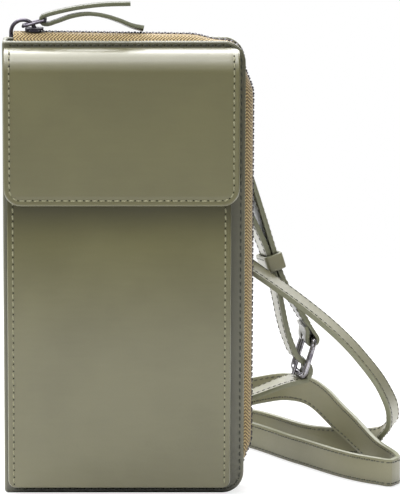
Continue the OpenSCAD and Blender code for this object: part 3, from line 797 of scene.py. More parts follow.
@dataclass(frozen=True)
class Leather(Finish):
    """Smooth coated leather: fine grain, paler cut edges partly a painted highlight, painted shade
    in corners and under the flap.
    """

    rim_tone: Quad
    roughness: float = 0.4
    pebble: float = 1500.0
    drift: float = 28.0
    depth: float = 0.03
    coat: float = 1.0
    coat_roughness: float = 0.3
    rub: float = 0.5
    # Painted shade: how far the AO looks for nearby surfaces, and the share of the deep tone that
    # it darkens to.
    shade_reach: float = 5.0
    shade: float = 0.35
    specular: float = 0.5
    painted_flap_shadow: float = 0.0
    painted_flap_shadow_band: Pair = (102.0, 122.0)
    dull_band: Pair = (60.0, 118.0)
    dull: float = 0.6

    def look(self, bench: Bench) -> Inputs:
        """Returns the inputs: grain, drift of tone, rubbed edges with a painted highlight, painted
        shade and the painted flap shadow.
        """
        where = bench.where()
        scales = {"Pebble Scale": self.pebble, "Drift Scale": self.drift}
        grain = self.group(bench, hide_grain(), where, scales | {"Roughness": self.roughness})
        rim = bench.add("ShaderNodeAttribute", attribute_name="rim")["Fac"]
        inputs = {"Tone": grain["Color"], "Rim Tone": self.rim_tone, "Rim": rim, "Rub": self.rub}
        inputs["Vector"] = where
        worn = bench.add("ShaderNodeGroup", inputs, node_tree=worn_rim())
        # Painted shade: the AO darkens the colour towards the painted shade tone in corners,
        # creases and where parts lie close together.
        corner = bench.add(
            "ShaderNodeAmbientOcclusion", {"Distance": self.shade_reach * MM}, samples=8
        )["AO"]
        painted_shade_tone = scaled(self.deep_tone, self.shade)
        colour_with_painted_shade = bench.mix(bench.ramp(corner, 0.1, 0.8), painted_shade_tone, worn["Color"])
        coat, specular = self.coat, self.specular
        # Painted shadow under the flap: with height, the colour darkens towards the painted shade
        # tone up to the flap's foot; the coat and the specular also fall off with height.
        if self.painted_flap_shadow:
            height = bench.add("ShaderNodeSeparateXYZ", {0: where})["Z"]
            flap_shadow_share, dull = (
                bench.ramp(height, low * MM, high * MM)
                for low, high in (self.painted_flap_shadow_band, self.dull_band)
            )
            colour_with_painted_shade = bench.mix(bench.times(bench.math("POWER", flap_shadow_share, 1.5), self.painted_flap_shadow), colour_with_painted_shade, painted_shade_tone)
            gloss = bench.line(dull, -self.dull, 1.0)
            coat, specular = bench.times(gloss, coat), bench.times(gloss, specular)
        return {
            "Base Color": colour_with_painted_shade,
            "Roughness": bench.line(worn["Mask"], 0.12, grain["Roughness"]),
            "Normal": bench.bump(grain["Height"], self.depth),
            "Coat Weight": coat,
            "Coat Roughness": self.coat_roughness,
            "Specular IOR Level": specular,
        }


@dataclass(frozen=True)
class Thread(Finish):
    """Twisted polyester thread."""

    def look(self, bench: Bench) -> Inputs:
        """Returns the inputs: a fine twist."""
        twist = bench.noise(bench.where(), 3800.0, 2.0)
        return {
            "Base Color": bench.mix(bench.ramp(twist, 0.35, 0.65), self.deep_tone, self.tone),
            "Normal": bench.bump(twist, 0.06),
            "Roughness": 0.6,
            "Sheen Weight": 0.2,
        }


@dataclass(frozen=True)
class HoleShade(Finish):
    """Painted shade of a needle hole: a dark, uneven colour on a small disc."""

    def look(self, bench: Bench) -> Inputs:
        """Returns the inputs: a dark, uneven colour as painted shade."""
        patches = bench.noise(bench.where(), 2400.0, 1.0)
        return {
            "Base Color": bench.mix(patches, self.deep_tone, self.tone),
            "Roughness": 0.9,
            "Specular IOR Level": 0.1,
        }


@dataclass(frozen=True)
class TapeWeave(Finish):
    """Woven zip tape in a chevron twill."""

    yarn_pitch: float = 1.4
    chevron: float = 2.6

    def look(self, bench: Bench) -> Inputs:
        """Returns the inputs: the twill on the tape's own map."""
        sizes = {"Yarn Pitch": self.yarn_pitch, "Chevron Width": self.chevron}
        twill = self.group(bench, chevron_twill(), bench.where("UV"), sizes)
        return {
            "Base Color": twill["Color"],
            "Normal": bench.bump(twill["Height"], 0.25),
            "Roughness": 0.75,
            "Sheen Weight": 0.25,
        }


@dataclass(frozen=True)
class LiningCloth(Finish):
    """Plain woven lining."""

    pitch: float = 0.45

    def look(self, bench: Bench) -> Inputs:
        """Returns the inputs: a plain weave."""
        weave = self.group(bench, plain_weave(), bench.where(), {"Thread Pitch": self.pitch})
        return {
            "Base Color": weave["Color"],
            "Normal": bench.bump(weave["Height"], 0.06),
            "Roughness": 0.8,
            "Sheen Weight": 0.2,
        }


@dataclass(frozen=True)
class Metal(Finish):
    """Plated metal."""

    roughness: float = 0.22

    def look(self, bench: Bench) -> Inputs:
        """Returns the inputs: faint marks and tarnish."""
        plating = self.group(bench, plated_metal(), bench.where(), {"Roughness": self.roughness})
        return {
            "Base Color": plating["Color"],
            "Roughness": plating["Roughness"],
            "Normal": bench.bump(plating["Height"], 0.01),
            "Metallic": 1.0,
        }


def painted_edge(name: str, tones: tuple[Quad, Quad, Quad], coat: float) -> Leather:
    """Returns the finish of a painted leather edge, whose rim tone is partly a painted highlight.
    """
    return Leather(name, *tones, roughness=0.5, coat=coat, rub=0.8)


# The pale tone of cut edges: edge paint and wear, and a painted highlight where rounded edges
# catch light.
RIM_PAINT_AND_HIGHLIGHT_TONE = srgb(158, 158, 124)
HOLE_SHADE_TONE = srgb(34, 34, 26)
BODY_LEATHER = Leather(
    "olive_leather", srgb(97, 94, 59), srgb(82, 79, 44), RIM_PAINT_AND_HIGHLIGHT_TONE, roughness=0.38
)
# Its upper part carries a painted shadow under the flap.
POCKET_LEATHER = Leather(
    "olive_pocket_leather", srgb(99, 96, 64), srgb(84, 81, 50), RIM_PAINT_AND_HIGHLIGHT_TONE, roughness=0.38, painted_flap_shadow=0.65
)
# Darker than the flap's leather, as painted shade for the covers' strips beside and under the
# pocket; its longer AO reach paints more shade.
COVER_LEATHER_AND_SHADE = Leather(
    "olive_cover_leather", srgb(88, 86, 60), srgb(72, 71, 48), srgb(106, 108, 80), shade_reach=12.0
)
# Pale edges of the flap, the pocket and the card slots: edge paint and a painted highlight.
PALE_EDGE_AND_HIGHLIGHT = painted_edge(
    "pale_painted_edge", (RIM_PAINT_AND_HIGHLIGHT_TONE, srgb(138, 138, 104), srgb(176, 176, 142)), 1.0
)
DARK_EDGE = painted_edge(
    "dark_painted_edge", (srgb(80, 82, 56), srgb(64, 66, 44), srgb(104, 106, 78)), 0.3
)
STRAP_EDGE = painted_edge(
    "dark_strap_edge", (srgb(60, 62, 41), srgb(48, 50, 33), srgb(86, 88, 63)), 0.3
)
# Paler and greyer than the body's leather: partly the strap's own tone and partly a painted sheen
# of the light its faces catch; the long AO reach paints shade where strands lie close together.
STRAP_LEATHER_AND_SHEEN = Leather(
    "olive_strap_leather",
    srgb(124, 121, 93),
    srgb(108, 105, 77),
    srgb(112, 113, 86),
    roughness=0.46,
    coat=0.65,
    coat_roughness=0.36,
    shade_reach=16.0,
)
THONG_TONES = (srgb(54, 58, 34), srgb(43, 46, 27), srgb(84, 87, 60))
THONG_LEATHER = Leather("olive_thong_leather", *THONG_TONES, roughness=0.45, coat=0.6)
DARK_LEATHER = Leather(
    "card_slot_leather", srgb(100, 95, 68), srgb(84, 80, 56), srgb(140, 138, 104), roughness=0.45
)
PALE_THREAD = Thread("olive_thread", srgb(152, 150, 117), srgb(106, 104, 77))
DARK_THREAD = Thread("dark_olive_thread", srgb(66, 68, 50), srgb(44, 46, 34))
# Painted shade: the dark colour of the discs at the needle holes.
NEEDLE_HOLE_SHADE = HoleShade("needle_hole", scaled(HOLE_SHADE_TONE, 2.2), HOLE_SHADE_TONE)
TAN_TAPE = TapeWeave("tan_twill_tape", srgb(186, 163, 112), srgb(96, 76, 44))
LINING = LiningCloth("beige_lining", srgb(176, 166, 138), srgb(132, 122, 96))
GUNMETAL = Metal("gunmetal", srgb(96, 92, 100), srgb(62, 58, 66))
# A lighter copy of the gunmetal for the buckle and the strap rings: painted light.
LIT_GUNMETAL = Metal("bright_gunmetal", srgb(160, 158, 162), srgb(104, 100, 108), roughness=0.18)
TOOTH_METAL = Metal("dark_zip_metal", srgb(74, 70, 74), srgb(44, 42, 46), roughness=0.3)


@dataclass(frozen=True)
class Stuff:
    """A piece's slot name, which is not used, its finishes by face number, and the thread that
    sews it.
    """

    slot: str
    finishes: tuple[Finish, ...]
    thread: Thread = DARK_THREAD


STRAP = Stuff("strap_leather", (STRAP_LEATHER_AND_SHEEN, STRAP_EDGE))
COVER = Stuff("leather", (COVER_LEATHER_AND_SHADE, DARK_EDGE))
GUSSET = Stuff("leather", (COVER_LEATHER_AND_SHADE,))
POCKET = Stuff("leather", (POCKET_LEATHER, PALE_EDGE_AND_HIGHLIGHT), PALE_THREAD)
FLAP = Stuff("leather", (BODY_LEATHER, PALE_EDGE_AND_HIGHLIGHT), PALE_THREAD)
THONG = Stuff("leather", (THONG_LEATHER, STRAP_EDGE))
CARDS = Stuff("card_leather", (DARK_LEATHER, PALE_EDGE_AND_HIGHLIGHT))
CLOTH = Stuff("lining", (LINING,))
TAPE = Stuff("zip_tape", (TAN_TAPE,))


def make(
    draft: Draft,
    name: str,
    stuff: Stuff,
    body: str | None,
    *nodes: str,
    sharp: float = 40.0,
    room: Piece | None = None,
) -> Piece:
    """Makes a piece, gives it its finishes, sets it on its body and hides the solids that it
    replaces.

    Args:
        draft: The piece's draft.
        name: Its name.
        stuff: What it is made of.
        body: The body that it rides on, or None to leave it on no body.
        *nodes: The solids that it replaces.
        sharp: The angle in degrees past which an edge stays sharp.
        room: A shape to cut out of it.

    Returns:
        The piece.
    """
    piece = draft.mesh(name, sharp)
    if room:
        carve(piece, room)
    piece.data.materials.clear()
    for finish in stuff.finishes:
        piece.data.materials.append(finish.material())
    if body:
        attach(piece, body)
    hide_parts(*nodes)
    return piece


def finish_nodes(finish: Finish, *names: str) -> None:
    """Gives some solids that stay their finish."""
    for name in names:
        for slot in frame["nodes"][name].material_slots:
            slot.link = "OBJECT"
            slot.material = finish.material()


# Rows of small pieces


class RowMaker:
    """Repeats a small piece along seams, with a tree of geometry nodes."""

    SOCKETS = {
        "Geometry": GEOMETRY,
        "Pitch": FLOAT,
        "Piece": OBJECT,
        "Piece Finish": MATERIAL,
        "Mark": OBJECT,
        "Mark Finish": MATERIAL,
        "Slant": FLOAT,
        "Spread": FLOAT,
        "Seed": "NodeSocketInt",
    }

    def __init__(self) -> None:
        """Builds the tree."""
        group = Group("row_along_seams", self.SOCKETS, {"Geometry": GEOMETRY}, "GeometryNodeTree")
        self.tree = group.tree
        entry = group.entry
        line = group.add("GeometryNodeMeshToCurve", {0: entry["Geometry"]})[0]
        length = group.add("GeometryNodeSplineLength")["Length"]
        steps = group.math("ROUND", group.math("DIVIDE", length, entry["Pitch"]))
        count = group.math("MAXIMUM", group.math("ADD", steps, 1.0), 2.0)
        points = group.add(
            "GeometryNodeResampleCurve", {"Curve": line, "Count": count}, mode="COUNT"
        )[0]
        facing = group.add(
            "GeometryNodeInputNamedAttribute", {"Name": "facing"}, data_type="FLOAT_VECTOR"
        )["Attribute"]
        turned = group.add(
            "FunctionNodeAxesToRotation",
            {0: facing, 1: group.add("GeometryNodeInputTangent")[0]},
            primary_axis="Z",
            secondary_axis="X",
        )[0]
        spread = entry["Spread"]
        chance = group.add(
            "FunctionNodeRandomValue",
            {2: group.times(spread, -1.0), 3: spread, "Seed": entry["Seed"]},
            data_type="FLOAT",
        )[1]
        lean = group.add(
            "FunctionNodeAxisAngleToRotation",
            {"Axis": (0.0, 0.0, 1.0), "Angle": group.math("ADD", entry["Slant"], chance)},
        )[0]
        final = group.add(
            "FunctionNodeRotateRotation", {0: turned, 1: lean}, rotation_space="LOCAL"
        )[0]
        joined = self.tree.nodes.new("GeometryNodeJoinGeometry")
        for piece in ("Piece", "Mark"):
            shape = group.add("GeometryNodeObjectInfo", {"Object": entry[piece]})["Geometry"]
            copies = group.add(
                "GeometryNodeInstanceOnPoints",
                {"Points": points, "Instance": shape, "Rotation": final},
            )[0]
            real = group.add("GeometryNodeRealizeInstances", {0: copies})[0]
            inputs = {"Geometry": real, "Material": entry[f"{piece} Finish"]}
            painted = group.add("GeometryNodeSetMaterial", inputs)[0]
            group.feed(joined.inputs[0], painted)
        group.give(Geometry=joined.outputs[0])

    def row(
        self, name: str, seams: Sequence[Seam], pitch: float, **values: object
    ) -> Piece:
        """Makes one mesh of all the small pieces along some seams.

        Args:
            name: The new piece's name.
            seams: The lines that the rows follow.
            pitch: The distance between small pieces, fitted to each line.
            **values: The tree's further inputs, with _ for each space. A small piece lies along X
                and faces Z, and Slant and Spread are in radians.

        Returns:
            The plain mesh.
        """
        data = bpy.data.meshes.new(name)
        places = [p for seam in seams for p in seam.places]
        facings = [f for seam in seams for f in seam.facings]
        edges, start = [], 0
        for seam in seams:
            count = len(seam.places)
            edges += [(start + i, start + i + 1) for i in range(count - 1)]
            start += count
        data.from_pydata([tuple(p * MM) for p in places], edges, [])
        facing = data.attributes.new("facing", "FLOAT_VECTOR", "POINT")
        facing.data.foreach_set("vector", [value for f in facings for value in f])
        made = linked(name, data)
        modifier = made.modifiers.new("Row", "NODES")
        modifier.node_group = self.tree
        values = {"Seed": 1, "Slant": 0.0, "Spread": 0.0} | values | {"Pitch": pitch * MM}
        for item in self.tree.interface.items_tree:
            label = item.name.replace(" ", "_")
            if item.in_out == "INPUT" and label in values:
                modifier[item.identifier] = values[label]
        return baked(made)


@dataclass
class Stitcher:
    """Sews rows of lockstitches, each a short thread with a dark disc at its end, painted shade
    for its needle hole.
    """

    rows: RowMaker
    thread_d: float = 0.62
    hole_d: float = 0.72
    thread_share: float = 0.69
    slant: float = 5.0
    spread: float = 2.5
    # Shares of the length, and heights and widths in diameters, along a stitch's thread.
    bow: tuple[Triple, ...] = (
        (-0.5, -0.3, 0.5),
        (-0.3, 0.12, 1.0),
        (0.3, 0.12, 1.0),
        (0.5, -0.3, 0.5),
    )

    def sew(
        self,
        name: str,
        body: str | None,
        seams: Sequence[Seam],
        stuff: Stuff,
        seed: int,
        pitch: float = 3.0,
        size: float = 1.0,
    ) -> Piece:
        """body: The body that it rides on, or None to leave it on no body.
            seams: The lines to sew along.
            stuff: What they are sewn into.
            seed: The seed of their small differences.
            pitch: The pitch of the stitches.
            size: A factor on the thread and the holes.

        Returns:
            The stitches as one mesh.
        """
        length, d = pitch * self.thread_share, self.thread_d * size
        thread_rings = [
            [Vector((at * length, y, rise * d + 0.8 * z)) for y, z in circle(6, d / 2 * fat)]
            for at, rise, fat in self.bow
        ]
        # The hole is a dark disc: painted shade for the needle hole.
        hole_rings = [
            [Vector((pitch / 2 + x, y, z)) for x, y in circle(8, self.hole_d * size / 2 * fat)]
            for fat, z in ((1.0, -0.02), (0.85, 0.035))
        ]
        stitch = Draft(rings=thread_rings).mesh("one_stitch", sharp=80)
        hole = Draft(rings=hole_rings).mesh("one_hole", sharp=80)
        made = self.rows.row(
            name,
            seams,
            pitch,
            Piece=stitch,
            Piece_Finish=stuff.thread.material(),
            Mark=hole,
            Mark_Finish=NEEDLE_HOLE_SHADE.material(),
            Slant=radians(self.slant),
            Spread=radians(self.spread),
            Seed=seed,
        )
        for small in (stitch, hole):
            bpy.data.objects.remove(small)
        if body:
            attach(made, body)
        return made


# The studio


@dataclass(frozen=True)
class Softbox:
    """An area light: its place, aim and size in millimetres, and its power in watts."""

    name: str
    place: Triple
    aim: Triple
    size: Pair
    power: float
    sheen_only: bool = False

    def hang(self) -> None:
        """Hangs the light in the scene."""
        data = bpy.data.lights.new(self.name, "AREA")
        data.shape = "RECTANGLE"
        data.size, data.size_y = (length * MM for length in self.size)
        data.energy = self.power
        body = linked(self.name, data)
        body.location = Vector(self.place) * MM
        direction = Vector(self.aim) - Vector(self.place)
        body.rotation_euler = direction.to_track_quat("-Z", "Y").to_euler()
        body.visible_diffuse = not self.sheen_only


SOFTBOXES = (
    Softbox("top_box", (-350, 200, 1300), (-250, 200, 0), (1800, 1100), 32.0),
    Softbox("brow_box", (-300, -700, 1200), (-100, 0, 150), (1800, 600), 9.0),
    Softbox("back_box", (100, 1000, 950), (0, 0, 150), (2000, 900), 23.0),
    Softbox("left_box", (-1300, -300, 500), (0, 0, 100), (600, 900), 3.5),
    Softbox("front_box", (-700, -1500, 900), (0, 0, 90), (700, 700), 2.0),
    Softbox("sheen_box", (0, -1100, 735), (0, 0, 150), (1800, 550), 4.0, sheen_only=True),
)


@dataclass
class Studio:
    """The camera, the floor and the lights."""

    pitch: float = 10.0
    distance: float = 1500.0
    target: Triple = (-0.45, -4.15, 95.0)
    lens: float = 263.7
    sensor: float = 36.0
    shift: Pair = (0.1465, 0.0445)
    floor_half: float = 8000.0
    world_level: float = 0.26
    table: Pair = (380.0, 760.0)
    table_level: float = 0.85
    room_level: float = 0.14
    shadow_level: float = 0.3
    floor_lift: float = 0.76
    fade: Pair = (250.0, 600.0)

    def camera(self) -> None:
        """Sets up the camera at the photograph's place."""
        data = bpy.data.cameras.new("camera")
        data.lens = self.lens
        data.sensor_width = self.sensor
        data.shift_x, data.shift_y = self.shift
        data.clip_end = 100.0
        body = linked("camera", data)
        a = radians(self.pitch)
        back = Vector((0.0, -cos(a), sin(a))) * self.distance
        body.location = (Vector(self.target) + back) * MM
        body.rotation_euler = (radians(90 - self.pitch), 0.0, 0.0)
        bpy.context.scene.camera = body

    def floor(self) -> None:
        """Lays a plain white floor that keeps the pouch's shadow."""
        half = self.floor_half * MM
        corners = [(-half, -half, 0), (half, -half, 0), (half, half, 0), (-half, half, 0)]
        data = bpy.data.meshes.new("floor")
        data.from_pydata(corners, [], [(0, 1, 2, 3)])
        made = bpy.data.materials.new("white_floor")
        made.use_nodes = True
        nodes = made.node_tree.nodes
        nodes.remove(nodes["Principled BSDF"])
        bench = Bench(made.node_tree)
        away = bench.add("ShaderNodeVectorMath", {0: bench.where()}, operation="LENGTH")["Value"]
        past_table, past_fade = (
            bench.ramp(away, near * MM, far * MM) for near, far in (self.table, self.fade)
        )
        bounce = bench.mix(past_table, grey(self.table_level), grey(self.room_level))
        plain = bench.add("ShaderNodeBsdfDiffuse", {"Color": bounce})[0]
        shadow = bench.add("ShaderNodeBsdfDiffuse", {"Color": grey(self.shadow_level)})[0]
        lift, white = (
            bench.add("ShaderNodeEmission", {"Color": grey(1.0), "Strength": level})[0]
            for level in (self.floor_lift, 1.0)
        )
        close = bench.add("ShaderNodeAddShader", {0: shadow, 1: lift})[0]
        seen = bench.add("ShaderNodeMixShader", {0: past_fade, 1: close, 2: white})[0]
        mixed = bench.add("ShaderNodeMixShader", {0: bench.seen_directly(), 1: plain, 2: seen})[0]
        bench.feed(nodes["Material Output"].inputs["Surface"], mixed)
        data.materials.append(made)
        linked("floor", data)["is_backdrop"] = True

    def sky(self) -> None:
        """Surrounds the scene with even white light."""
        world = bpy.data.worlds.new("white_room")
        world.use_nodes = True
        bench = Bench(world.node_tree)
        level = bench.line(bench.seen_directly(), 1.0 - self.world_level, self.world_level)
        background = world.node_tree.nodes["Background"]
        bench.feed(background.inputs["Color"], grey(1.0))
        bench.feed(background.inputs["Strength"], level)
        bpy.context.scene.world = world

    def build(self) -> None:
        """Sets up the whole studio."""
        self.camera()
        self.floor()
        self.sky()
        for box in SOFTBOXES:
            box.hang()
        bpy.context.scene.view_settings.view_transform = "Standard"


# The strap


def catmull(points: Sequence[Vector], leans: Sequence[Vector], step: float) -> Lines:
    """Draws a smooth line through points, with a direction at each.

    Args:
        points: The points.
        leans: The strap's width direction at each point.
        step: The longest step of the result.

    Returns:
        The line's points and its width directions.
    """
    count = len(points)
    lengths = [(points[i + 1] - points[i]).length for i in range(count - 1)]

    def slope(values: Sequence[Vector], i: int) -> Vector:
        """Returns the change of a value for each millimetre at a point."""
        if i == 0:
            return (values[1] - values[0]) / lengths[0]
        if i == count - 1:
            return (values[-1] - values[-2]) / lengths[-1]
        before, after = lengths[i - 1], lengths[i]
        low = (values[i] - values[i - 1]) / before
        high = (values[i + 1] - values[i]) / after
        return (low * after + high * before) / (before + after)

    found: Lines = ([], [])
    for i, size in enumerate(lengths):
        pieces = max(1, ceil(size / step))
        for k in range(pieces + (1 if i == count - 2 else 0)):
            t = k / pieces
            h00, h10 = 2 * t**3 - 3 * t**2 + 1, t**3 - 2 * t**2 + t
            h01, h11 = 3 * t**2 - 2 * t**3, t**3 - t**2
            for values, line in zip((points, leans), found):
                line.append(
                    values[i] * h00
                    + slope(values, i) * (h10 * size)
                    + values[i + 1] * h01
                    + slope(values, i + 1) * (h11 * size)
                )
    return found


def with_halves(points: list[Vector], leans: list[Vector], bend: float = 20.0) -> Lines:
    """Adds a point halfway between two where the line bends, as the solid has it.

    Args:
        points: The route's points.
        leans: Its width directions.
        bend: The least bend in degrees that gets one.

    Returns:
        The longer lists.
    """
    last = len(points) - 1

    def near(values: list[Vector], i: int) -> Vector:
        """Returns a value, or that of the nearest end."""
        return values[max(0, min(i, last))]

    def way(i: int) -> Vector:
        """Returns the direction of the line at a point."""
        return (near(points, i + 1) - near(points, i - 1)).normalized()

    full: Lines = ([], [])
    for i in range(last + 1):
        for values, found in zip((points, leans), full):
            found.append(values[i])
            if 0 < i < last - 1 and way(i).dot(way(i + 1)) < cos(radians(bend)):
                a, b, c, d = (near(values, i + k) for k in (-1, 0, 1, 2))
                found.append((b + c) / 2 + (b - a - d + c) / 16)
    return full


@dataclass
class Band:
    """A flat leather band that follows a line."""

    line: list[Vector]
    widths: list[Vector]
    width: float = 12.0
    thickness: float = 2.2
    edge_r: float = 0.75
    crown: float = 0.1
    closed: bool = False
    taper: float = 0.0
    bare_end: float = 1.5

    @property
    def arcs(self) -> list[float]:
        """Returns the length along the line at each point."""
        found = [0.0]
        for a, b in zip(self.line, self.line[1:]):
            found.append(found[-1] + (b - a).length)
        return found

    def frames(self) -> list[tuple[Vector, Vector, Vector]]:
        """Returns the place, the width direction and the face direction at each point."""
        found = []
        count = len(self.line)
        for i, place in enumerate(self.line):
            if self.closed:
                ahead = self.line[(i + 1) % count] - self.line[i - 1]
            else:
                ahead = self.line[min(i + 1, count - 1)] - self.line[max(i - 1, 0)]
            ahead.normalize()
            across = self.widths[i] - ahead * self.widths[i].dot(ahead)
            across.normalize()
            found.append((place, across, ahead.cross(across)))
        return found

    def section(self) -> list[Pair]:
        """Returns the points of the band's section, across the width and the thickness."""
        w, t = self.width / 2, self.thickness / 2
        r = min(self.edge_r, t - 0.02)
        inner = w - r
        half = ((inner, 0.0), (inner - 0.6, 0.03), (inner * 0.45, self.crown))
        face = [(-u, rise) for u, rise in half] + list(reversed(half))
        edge = []
        for degrees, way in ((35, 1), (90, 0), (145, -1)):
            a = radians(degrees)
            edge.append((inner + r * sin(a), (t - r) * way + r * cos(a)))
        return (
            [(u, t + rise) for u, rise in face]
            + edge
            + [(u, -t - rise * 0.5) for u, rise in reversed(face)]
            + [(-u, v) for u, v in reversed(edge)]
        )

    def add_to(self, draft: Draft) -> None:
        """Adds the band to a draft."""
        section = self.section()
        rings = []
        frames = self.frames()
        for number, (place, across, face) in enumerate(frames):
            size = 1.0
            if self.taper:
                size -= self.taper * abs(2 * number / (len(frames) - 1) - 1) ** 6
            rings.append([place + across * (u * size) + face * v for u, v in section])
        rims = ([0.0] * 6 + [1.0] * 3) * 2
        draft.loft(rings, rims, ([0] * 5 + [1] * 4) * 2, closed=self.closed)

    def seams(self, inset: float) -> list[Seam]:
        """Draws the seams along the band's two edges, on both of its faces."""
        made = []
        frames = self.frames()
        arcs = self.arcs
        kept = [
            frame_at
            for frame_at, at in zip(frames, arcs)
            if self.bare_end <= at <= arcs[-1] - self.bare_end
        ]
        for side in (-1, 1):
            for way, lift in ((1, 0.04), (-1, 0.02)):
                out = side * (self.width / 2 - inset)
                up = way * (self.thickness / 2 + lift)
                places = [place + across * out + face * up for place, across, face in kept]
                made.append(Seam(places, [face * way for _, _, face in kept]))
        return made


Route = list[tuple[Triple, Triple]]
LEVEL = (0, 0, 1)
LOW = (-0.23, 0.97, -0.07)
LEAN = (-0.25, 0.966, 0.07)
# The straps' places and width directions between their ends, as the solids have them.
SHORT_ROUTE: Route = [
    ((39.8, 22.5, 147), (-0.95, 0.3, 0)),
    ((44, 27.5, 138), (-0.75, 0.65, -0.05)),
    ((49.6, 31.2, 127), (-0.45, 0.88, -0.1)),
    ((55, 33.6, 113), (-0.28, 0.95, -0.1)),
    ((59.7, 35, 98.7), LOW),
    ((63.9, 35, 85.3), LOW),
    ((69.5, 36.1, 75.2), (-0.24, 0.97, 0)),
]
LONG_ROUTE: Route = [
    ((46, 31, 120.5), (-0.27, 0.96, -0.05)),
    ((57.1, 34.4, 97.9), LOW),
    ((61.3, 34.4, 84.5), LOW),
    ((68.5, 36.4, 55.9), LEAN),
    ((72.5, 38, 49.2), LEAN),
    ((75.9, 39.1, 46.4), LEAN),
    ((76.4, 39.4, 43.1), LEAN),
    ((74.3, 39.1, 40.1), LEAN),
    ((71.1, 38.3, 39.6), (-0.2, 0.97, 0.07)),
    ((53.5, 42, 32.3), (0, 1, 0.05)),
    ((2, 45, 14), (0, 0.2, 0.98)),
    ((-42, 50, 7), LEVEL),
    ((-42, 65, 7), LEVEL),
    ((-25, 73, 8), LEVEL),
    ((33.5, 79.4, 19.5), (0, 0.1, 1)),
    ((58, 80.5, 26), (0, 0.2, 1)),
    ((77, 72, 28), (0.05, 0.25, 1)),
    ((93, 53, 18), (0.1, 0.15, 1)),
    ((106.5, 29.4, 8.8), LEVEL),
    ((113.5, 15, 6.4), LEVEL),
    ((112, 7.5, 6.3), LEVEL),
    ((105, 8, 6.3), LEVEL),
    ((74, 45.9, 6.3), LEVEL),
    ((51.5, 80.9, 6.3), LEVEL),
    ((34, 94.5, 6.3), LEVEL),
    ((-8.5, 98.4, 6.3), LEVEL),
    ((-16, 106, 6.3), LEVEL),
    ((-8.5, 113.5, 6.3), LEVEL),
    ((38, 113, 6.3), LEVEL),
    ((57, 102.5, 6.3), LEVEL),
    ((84.5, 68.4, 6.3), LEVEL),
    ((104, 47.9, 10.5), (0.2, 0.6, 0.75)),
    ((110, 38.4, 17), (0.35, 0.85, 0.35)),
    ((112.5, 30.4, 27.5), (0.35, 0.93, 0.12)),
    ((98, 21.6, 53), (0.22, 0.96, 0.14)),
    ((53.5, 20, 90.5), (0.2, 0.96, 0.15)),
    ((5.5, 21.4, 119), (0.35, 0.88, 0.3)),
    ((-34, 22.5, 138.5), (0.75, 0.5, 0.4)),
]


def turned(place: Triple, *turns: tuple[float, str]) -> Matrix:
    """Returns the frame at a place that is turned by some angles in degrees about its axes."""
    made = Matrix.Translation(place)
    for angle, axis in turns:
        made = made @ Matrix.Rotation(radians(angle), 4, axis)
    return made


